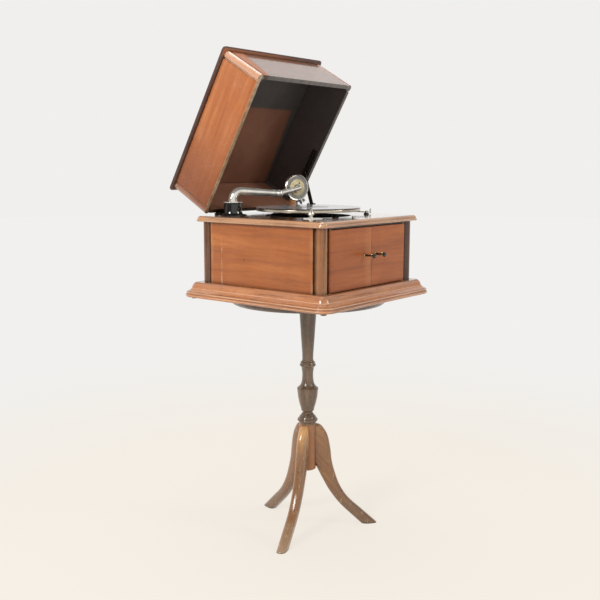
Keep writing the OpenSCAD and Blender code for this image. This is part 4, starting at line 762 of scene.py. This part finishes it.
def black_below(tree, colour, here):
    """Black paint inside the rim and under the plate; only the rim is plated."""
    parts = split(tree, here)
    away = from_axis(tree, parts[0], parts[1])
    inside = stretch(tree, away, platter_high.x - 0.0022, platter_high.x - 0.003)
    under = stretch(tree, parts[2], platter_high.z - 0.0004, platter_high.z - 0.0009)
    painted = times(tree, inside, under)
    return tint(tree, painted, colour, tone(22, 20, 20))


platter_metal = metal("platter_metal", (206, 196, 180), (150, 136, 114), polished=0.22,
                      rubbed=0.42, paint=black_below)
finish_nodes(platter_metal, "platter")

RECORD_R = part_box("record")[1].x
LABEL_R = 0.051
GROOVE = 0.00065
GROOVE_DEPTH = 0.00005


def record_material():
    """Shellac with rings of grooves, and a plain label inside its land."""
    material, tree, shader = new_material("shellac")
    here = own_place(tree)
    parts = split(tree, here)
    away = from_axis(tree, parts[0], parts[1])
    rings = calc(tree, "SINE", times(tree, away, 2 * math.pi / GROOVE))
    outside = stretch(tree, away, LABEL_R + 0.006, LABEL_R + 0.007)
    cut = times(tree, outside, stretch(tree, away, RECORD_R - 0.003, RECORD_R - 0.004))
    loud = noise(tree, join(tree, away), (260.0, 1.0, 1.0))
    rings = times(tree, rings, cut, loud)
    paper = stretch(tree, away, LABEL_R - 0.0005, LABEL_R - 0.0009)
    rim = calc(tree, "ABSOLUTE", calc(tree, "SUBTRACT", away, LABEL_R - 0.004))
    rim = stretch(tree, rim, 0.0007, 0.0004)
    fibres = noise(tree, here, 900.0)
    label = tint(tree, fibres, tone(52, 26, 23), tone(72, 36, 31))
    label = tint(tree, rim, label, tone(122, 100, 66))
    dusty = noise(tree, here, 40.0, 5.0, 0.65)
    black = tint(tree, stretch(tree, dusty, 0.4, 0.75), tone(22, 21, 22), tone(34, 32, 31))
    gloss = calc(tree, "MULTIPLY_ADD", cut, 0.05, 0.05)
    gloss = calc(tree, "MULTIPLY_ADD", dusty, 0.06, gloss)
    gloss = calc(tree, "MULTIPLY_ADD", paper, 0.4, gloss)
    dress(tree, shader, tint(tree, paper, black, label), gloss, rings, 0.12, GROOVE_DEPTH)
    shader.inputs["Coat Weight"].default_value = 0.6
    shader.inputs["Coat Roughness"].default_value = 0.06
    shader.inputs["Sheen Weight"].default_value = 0.3
    shader.inputs["Sheen Roughness"].default_value = 0.25
    return material


finish_nodes(record_material(), "record")


# ----------------------------------------------------------- fittings on the deck
# The nickelled brake lever and the speed knob over its enamelled dial, a turned orange peg
# that the sound box rests against, black domed bolt heads, and the black cast bases of the
# brake and the tone arm.

nickel = metal("nickel_plate", (214, 210, 200), (150, 134, 108), amount=0.35, polished=0.07,
               rubbed=0.3)
finish_nodes(nickel, "brake_lever")
bolt_black = metal("bolt_black", (20, 20, 21), (48, 44, 42), amount=0.3, polished=0.16,
                   rubbed=0.34, metallic=0.0, wear_amount=0.3, worn=(96, 92, 88), coat=0.5)
finish_nodes(bolt_black, "motor_bolts", "brake_base", "tonearm_base")
rest_wood = wood("rest_wood", (150, 86, 42), (206, 134, 76), (228, 164, 106), ALONG_Z,
                 bands=120.0, rubbed=0.36, coat=0.4)
finish_nodes(rest_wood, "rest_post")
knob_nickel = metal("knob_nickel", (226, 220, 206), (176, 162, 138), amount=0.5,
                    polished=0.3, rubbed=0.5)
finish_nodes(knob_nickel, "speed_knob")

dial_low, dial_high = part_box("speed_dial")
DIAL_X = (dial_low.x + dial_high.x) / 2
DIAL_Y = (dial_low.y + dial_high.y) / 2
DIAL_R = (dial_high.x - dial_low.x) / 2


def dial_marks(tree, colour, here):
    """A ring of short black strokes near the dial's rim, over part of the way round."""
    parts = split(tree, here)
    across = calc(tree, "SUBTRACT", parts[0], DIAL_X)
    along = calc(tree, "SUBTRACT", parts[1], DIAL_Y)
    away = from_axis(tree, across, along)
    ring = calc(tree, "ABSOLUTE", calc(tree, "SUBTRACT", away, DIAL_R * 0.78))
    ring = stretch(tree, ring, 0.0021, 0.0019)
    angle = calc(tree, "ARCTAN2", along, across)
    tooth = calc(tree, "COSINE", times(tree, angle, 36.0))
    ticks = times(tree, stretch(tree, tooth, 0.8, 0.9), ring)
    shown = stretch(tree, calc(tree, "ABSOLUTE", angle), 2.2, 2.1)
    return tint(tree, times(tree, ticks, shown), colour, tone(40, 36, 32))


dial_enamel = metal("dial_enamel", (244, 242, 236), (214, 206, 190), amount=0.3,
                    polished=0.34, rubbed=0.5, metallic=0.0, paint=dial_marks)
finish_nodes(dial_enamel, "speed_dial")


# ----------------------------------------------------- tone arm and sound box
# Nickelled brass tube, bent at its elbow and drawn thin towards the gooseneck, and the
# round sound box on it, with a cream rubber back plate and a mica diaphragm.

arm_nickel = metal("arm_nickel", (236, 233, 226), (178, 166, 146), amount=0.3,
                   polished=0.16, rubbed=0.34, metallic=0.75)
finish_nodes(arm_nickel, "tonearm", "gooseneck")
finish_nodes(nickel, "needle_screw")
finish_nodes(steel, "stylus_bar", "needle")

box_low, box_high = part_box("soundbox_shell")
box_middle = (box_low + box_high) / 2
ARM_HEADING = math.radians(-22.4)
BACK_PLATE_R = 0.0203
BACK_PLATE_Y = -0.0022
BACK_SCREWS = 0.0105
BOSS_R = 0.0083
BRIGHT_RIM_R = 0.0285


def box_material():
    """Nickel all round, and cream rubber with two dark screws on the back plate."""
    material, tree, shader = new_material("sound_box_finish")
    raw = own_place(tree)
    moved = on_vectors(tree, "SUBTRACT", raw, tuple(box_middle))
    parts = split(tree, rotated(tree, moved, (0.0, 0.0, -ARM_HEADING)))
    face = join(tree, parts[0], parts[2])
    away = on_vectors(tree, "LENGTH", face)
    behind = calc(tree, "LESS_THAN", parts[1], BACK_PLATE_Y)
    cream = times(tree, calc(tree, "LESS_THAN", away, BACK_PLATE_R), behind)
    boss = calc(tree, "LESS_THAN", away, BOSS_R)
    cream = times(tree, cream, calc(tree, "SUBTRACT", 1.0, boss))
    skin = effect(tree, patina, raw, Clean=tone(206, 204, 198), Dull=tone(128, 118, 102),
                  Polished=0.24, Rubbed=0.44)
    old = stretch(tree, noise(tree, raw, 90.0, 5.0), 0.3, 0.7)
    rubber = tint(tree, old, tone(232, 220, 180), tone(204, 184, 140))
    for height in (-BACK_SCREWS, BACK_SCREWS):
        spot = on_vectors(tree, "DISTANCE", face, (height * 0.5, height, 0.0))
        rubber = tint(tree, stretch(tree, spot, 0.0024, 0.0018), rubber, tone(52, 46, 40))
    dull = stretch(tree, away, BRIGHT_RIM_R, BRIGHT_RIM_R - 0.0013, 0.0, 0.8)
    plated = tint(tree, times(tree, dull, behind), skin["Color"], tone(112, 110, 106))
    colour = tint(tree, cream, plated, rubber)
    tree.links.new(calc(tree, "SUBTRACT", 1.0, cream), shader.inputs["Metallic"])
    gloss = calc(tree, "MULTIPLY_ADD", cream, 0.25, skin["Roughness"])
    dress(tree, shader, colour, gloss, skin["Height"], 0.15, SKIN_DEPTH)
    return material


finish_nodes(box_material(), "soundbox_shell")
mica = metal("mica", (206, 196, 170), (160, 140, 108), amount=0.6, polished=0.08,
             rubbed=0.25, metallic=0.0, coat=0.5)
finish_nodes(mica, "diaphragm")


# ------------------------------------------------------------------------- lid
# A box lid without a bottom: a moulded top board and four thin walls let into round posts,
# orange mahogany at its sides, darker in front and on top, and nearly black within, from its
# staining and from painted shade, with brown painted light on the back of the ceiling and on
# the back wall.
# Dark brass butts hinge it, and a black stay holds it open.

LID_OPEN = math.radians(60)
HINGE_Y = 0.181
HINGE_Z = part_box("lid_hinge_lower")[0].z + 0.0025
LID_MIDDLE_Y = -0.0025
LIT_EDGE_Y = -0.0475
RIM_Z = deck_level + 0.002
TOP_Z = RIM_Z + 0.117
INNER_X = 0.165
INNER_Y = 0.1695
POST_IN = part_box("lid_front")[0].x


def closed_lid(tree):
    """Coordinates of the lid as it lies when shut, from its own middle."""
    pivot = Vector((0.0, HINGE_Y, HINGE_Z))
    shift = pivot - Matrix.Rotation(LID_OPEN, 3, "X") @ pivot
    shift.y -= LID_MIDDLE_Y
    return placed(tree, (LID_OPEN, 0.0, 0.0), tuple(shift))


def lid_lengthwise(tree):
    return lengthwise(tree, closed_lid(tree))


def lid_top_grain(tree):
    return lengthwise(tree, closed_lid(tree), INNER_X)


def lid_upright(tree):
    return rotated(tree, closed_lid(tree), ALONG_Z)


def inside_lid(tree, shut):
    """1 on the surfaces inside the lid, by their place when it is shut."""
    wide = calc(tree, "LESS_THAN", calc(tree, "ABSOLUTE", shut[0]), INNER_X + 0.0004)
    deep = calc(tree, "LESS_THAN", calc(tree, "ABSOLUTE", shut[1]), INNER_Y + 0.0004)
    low = calc(tree, "LESS_THAN", shut[2], TOP_Z + 0.0004)
    return times(tree, wide, deep, low)


def stain_and_shade_within(lit_brown, trim):
    """Dark staining and painted shade inside the lid, brown painted light on the back of the
    ceiling for "patch" and all over the back wall for "all", and trim(tree, colour, vector,
    shut) on its outside.
    """
    def paint(tree, colour, here):
        shut = split(tree, closed_lid(tree))
        share = inside_lid(tree, shut)
        clouds = stretch(tree, noise(tree, here, 7.0, 4.0), 0.3, 0.7)
        stain_and_shade = tint(tree, clouds, tone(61, 61, 61), tone(74, 72, 71))
        if lit_brown == "patch":
            # Painted light: the back of the ceiling is lit brown, up to a straight shadow
            # edge
            front = stretch(tree, shut[1], LIT_EDGE_Y - 0.004, LIT_EDGE_Y + 0.004)
            slant = calc(tree, "MULTIPLY_ADD", shut[1], -0.1, shut[0])
            side = stretch(tree, slant, 0.154, 0.132)
            lit_share = times(tree, front, side)
            brown = tint(tree, clouds, tone(122, 76, 54), tone(146, 94, 68))
            stain_and_shade = tint(tree, lit_share, stain_and_shade, brown)
        if lit_brown == "all":
            stain_and_shade = tint(tree, clouds, tone(148, 100, 76), tone(172, 119, 91))
        colour = trim(tree, colour, here, shut)
        return tint(tree, times(tree, share, 0.95), colour, stain_and_shade)
    return paint


def within_lid(tree):
    return inside_lid(tree, split(tree, closed_lid(tree)))


def rim_and_hinge_tones(tree, colour, here, shut):
    """Rims pale on the left and dark elsewhere; wood that gets darker towards the hinges."""
    deep = stretch(tree, shut[1], -0.06, 0.19, 0.0, 0.72)
    deepened = tint(tree, 1.0, colour, tone(150, 128, 128), "MULTIPLY")
    colour = tint(tree, deep, colour, deepened)
    rim = stretch(tree, shut[2], RIM_Z + 0.0014, RIM_Z + 0.0006)
    patchy = stretch(tree, noise(tree, here, 60.0, 4.0), 0.35, 0.65)
    dark_rim = tint(tree, patchy, tone(46, 37, 30), tone(84, 68, 52))
    pale_rim = tint(tree, patchy, tone(148, 122, 90), tone(186, 156, 120))
    left = stretch(tree, shut[0], -INNER_X + 0.003, -INNER_X)
    return tint(tree, rim, colour, tint(tree, left, dark_rim, pale_rim))


def lid_post_shade(tree, colour, here, shut):
    """Painted shade: the posts on the right are darkened redder; the left ones keep their
    pale tone.
    """
    dark = stretch(tree, shut[0], 0.0, 0.1)
    shaded = tint(tree, 1.0, colour, tone(188, 146, 132), "MULTIPLY")
    return rim_and_hinge_tones(tree, tint(tree, dark, colour, shaded), here, shut)


def lit_front_foot(tree, colour, here, shut):
    """Painted light: orange along the foot of the top's front edge where light falls on it,
    most of it on the left.
    """
    low = stretch(tree, shut[2], TOP_Z + 0.0026, TOP_Z + 0.0012)
    front = stretch(tree, shut[1], -0.16, -0.175)
    left = stretch(tree, shut[0], 0.14, -0.06, 0.15, 1.0)
    share = times(tree, low, front, left)
    return tint(tree, share, colour, tone(158, 90, 46))


def post_shade_strip(tree):
    """1 on the strip of the front wall next to the near post that is painted orange, as
    painted shade for the post's round side.
    """
    shut = split(tree, closed_lid(tree))
    edge = stretch(tree, shut[2], RIM_Z, TOP_Z, POST_IN + 0.016, POST_IN + 0.036)
    away = calc(tree, "SUBTRACT", shut[0], edge)
    ragged = noise(tree, own_place(tree), 40.0)
    return stretch(tree, calc(tree, "MULTIPLY_ADD", ragged, 0.02, away), 0.018, 0.002)


# Painted shade: an orange strip on the front wall beside the near post stands in for the
# post's shaded round side.
def front_post_shade(tree, colour, here, shut):
    strip = times(tree, post_shade_strip(tree), 0.7)
    orange = tint(tree, strip, colour, tone(190, 118, 78))
    return rim_and_hinge_tones(tree, orange, here, shut)


def dull_front(tree):
    return calc(tree, "MAXIMUM", within_lid(tree), times(tree, post_shade_strip(tree), 0.8))


SIDE_TONES = ((154, 80, 40), (178, 104, 56), (198, 126, 76))
FRONT_TONES = ((84, 48, 28), (118, 72, 44), (138, 88, 58))
LID_DULL = 0.72
for name in ("lid_left", "lid_right", "lid_front", "lid_back"):
    side = name in ("lid_left", "lid_right")
    lit_brown = "all" if name == "lid_back" else None
    trim = front_post_shade if name == "lid_front" else rim_and_hinge_tones
    lid_wood = wood(name + "_wood", *(SIDE_TONES if side else FRONT_TONES), figure=0.8,
                    wear_amount=0.5, polished=0.16 if side else 0.1, rubbed=0.34,
                    hazy=0.08, dirt_and_shade=0.3, vector=lid_lengthwise if side else closed_lid,
                    paint=stain_and_shade_within(lit_brown, trim))
    dull_where(lid_wood, dull_front if name == "lid_front" else within_lid, LID_DULL,
               0.25 if side else 0.8)
    finish_nodes(lid_wood, name)
# The lid top's dark tones are partly painted shade on its overhanging edge.
lid_top_wood = wood("lid_top_wood", (48, 28, 23), (80, 48, 39), (108, 70, 58), bands=34.0,
                    worn=(150, 112, 88), wear_amount=0.5, polished=0.22,
                    vector=lid_top_grain, paint=stain_and_shade_within("patch", lit_front_foot))
dull_where(lid_top_wood, within_lid, LID_DULL, 0.2)
finish_nodes(lid_top_wood, "lid_top")
# The pale tones of the lid posts partly stand for the gloss on the near post: painted
# highlight as well as wood colour.
lid_post_wood = wood("lid_post_wood", (158, 108, 82), (208, 154, 122), (230, 186, 156),
                     bands=80.0, figure=0.8, worn=(236, 200, 172), wear_amount=0.7,
                     polished=0.1, rubbed=0.26, hazy=0.2, dirt_and_shade=0.2, vector=lid_upright,
                     paint=stain_and_shade_within(None, lid_post_shade))
dull_where(lid_post_wood, within_lid, LID_DULL, 0.9)
finish_nodes(lid_post_wood, "lid_posts")
dark_brass = metal("dark_brass", (78, 62, 40), (46, 38, 28), amount=0.6, polished=0.3,
                   rubbed=0.5, wear_amount=0.3, worn=(170, 140, 84))
finish_nodes(dark_brass, "lid_hinge_lower", "lid_hinge_upper")
finish_nodes(bolt_black, "stay_bracket", "stay_track", "stay_arm")


# ------------------------------------------------------------------------ crank
# The winding handle: a nickelled rod cranked over outside the right side, through a
# nickelled bush, with a loose grip of dark turned wood.

finish_nodes(nickel, "crank_bush", "crank")
grip_wood = wood("grip_wood", (46, 30, 22), (92, 60, 42), (128, 88, 62), ALONG_X,
                 bands=110.0, polished=0.16, rubbed=0.32, coat=0.5)
finish_nodes(grip_wood, "crank_grip")


# ------------------------------------------------------------- floor and backdrop
# A pale floor that runs out into a white backdrop, seen by the camera and in reflections;
# the soft light comes from three square lamps, on the left, in front and above, and from
# the whole sky.

FLOOR_R = 14.0
FLOOR_Z = -0.0002
FLOOR_SIDES = 96


def seen_directly(tree):
    """1 where a ray from the camera, or one mirrored or bent on its way, lands."""
    path = put(tree, "ShaderNodeLightPath").outputs
    seen = calc(tree, "MAXIMUM", path["Is Camera Ray"], path["Is Glossy Ray"])
    return calc(tree, "MAXIMUM", seen, path["Is Transmission Ray"])


floor_mesh = bpy.data.meshes.new("floor")
around = [2 * math.pi * k / FLOOR_SIDES for k in range(FLOOR_SIDES)]
ring = [(FLOOR_R * math.cos(a), FLOOR_R * math.sin(a), FLOOR_Z) for a in around]
floor_mesh.from_pydata(ring, [], [list(range(FLOOR_SIDES))])
floor = bpy.data.objects.new("floor", floor_mesh)
bpy.context.collection.objects.link(floor)
pale, tree, standard_shader = new_material("pale_floor")
tree.nodes.remove(standard_shader)
away = on_vectors(tree, "LENGTH", own_place(tree))
far = stretch(tree, away, 0.35, 2.2)
cloth = tint(tree, far, tone(244, 237, 227), tone(241, 240, 238))
matt = put(tree, "ShaderNodeBsdfDiffuse", {"Color": cloth})
shine = put(tree, "ShaderNodeEmission", {"Color": cloth, "Strength": 1.0})
paler = stretch(tree, away, 0.25, 2.0, 0.84, 1.0)
shown = times(tree, seen_directly(tree), paler)
both = put(tree, "ShaderNodeMixShader", {0: shown, 1: matt.outputs[0], 2: shine.outputs[0]})
tree.links.new(both.outputs[0], tree.nodes["Material Output"].inputs["Surface"])
floor_mesh.materials.append(pale)

world = bpy.data.worlds.new("studio")
bpy.context.scene.world = world
world.use_nodes = True
tree = world.node_tree
sky = tree.nodes["Background"]
heading = put(tree, "ShaderNodeTexCoord").outputs["Generated"]
toward = on_vectors(tree, "DOT_PRODUCT", heading, (-0.6, -0.78, 0.15))
# The room is dim around the camera, with a bright window behind it; the backdrop is white
room = tint(tree, stretch(tree, toward, -0.7, 0.5), tone(243, 242, 240), tone(92, 90, 88))
window = on_vectors(tree, "DOT_PRODUCT", heading, (-0.34, -0.94, -0.06))
room = tint(tree, stretch(tree, window, 0.62, 0.8), room, tone(246, 244, 240))
path = put(tree, "ShaderNodeLightPath").outputs
mirrored = calc(tree, "MAXIMUM", path["Is Glossy Ray"], path["Is Transmission Ray"])
light = tint(tree, mirrored, tone(196, 196, 196), room)
light = tint(tree, path["Is Camera Ray"], light, tone(240, 239, 237))
tree.links.new(light, sky.inputs["Color"])
sky.inputs["Strength"].default_value = 1.0


def softbox(name, place, aim, size, watts, colour):
    """A square lamp that faces the point it is aimed at."""
    lamp = bpy.data.lights.new(name, "AREA")
    lamp.size = size
    lamp.energy = watts
    lamp.color = colour
    holder = bpy.data.objects.new(name, lamp)
    bpy.context.collection.objects.link(holder)
    holder.location = place
    turn = (Vector(aim) - Vector(place)).to_track_quat("-Z", "Y")
    holder.rotation_euler = turn.to_euler()


softbox("left_softbox", (-2.6, 0.1, 1.9), (0, 0, 0.75), 0.8, 46, (1.0, 0.985, 0.96))
softbox("front_softbox", (1.1, -2.4, 2.1), (0, 0, 0.7), 0.55, 18, (1.0, 0.98, 0.95))
softbox("top_softbox", (0.2, 0.4, 3.2), (0, 0, 0.7), 1.6, 24, (1.0, 1.0, 1.0))


# ---------------------------------------------------------------------- camera
# The photograph's own view, fitted to the cabinet's, lid's and stand's corners: from the
# front left, a little above the motor board.

CAMERA_AT = Vector((-1.65652, -1.29660, 0.90827))
YAW = math.radians(51.417)
PITCH = math.radians(-8.821)
ROLL = math.radians(0.096)
PHOTO_SIDE = 600
FOCAL = 868.0

ahead = Vector((math.sin(YAW) * math.cos(PITCH), math.cos(YAW) * math.cos(PITCH),
                math.sin(PITCH)))
right = Vector((math.cos(YAW), -math.sin(YAW), 0))
up = right.cross(ahead)
rolled_right = right * math.cos(ROLL) + up * math.sin(ROLL)
rolled_up = up * math.cos(ROLL) - right * math.sin(ROLL)
lens = bpy.data.cameras.new("camera")
lens.sensor_width = 36.0
lens.lens = FOCAL / PHOTO_SIDE * lens.sensor_width
lens.clip_start = 0.05
lens.clip_end = 60.0
camera = bpy.data.objects.new("camera", lens)
bpy.context.collection.objects.link(camera)
axes = Matrix((rolled_right, rolled_up, -ahead)).transposed()
camera.matrix_world = Matrix.Translation(CAMERA_AT) @ axes.to_4x4()
bpy.context.scene.camera = camera
bpy.context.scene.view_settings.view_transform = "Standard"
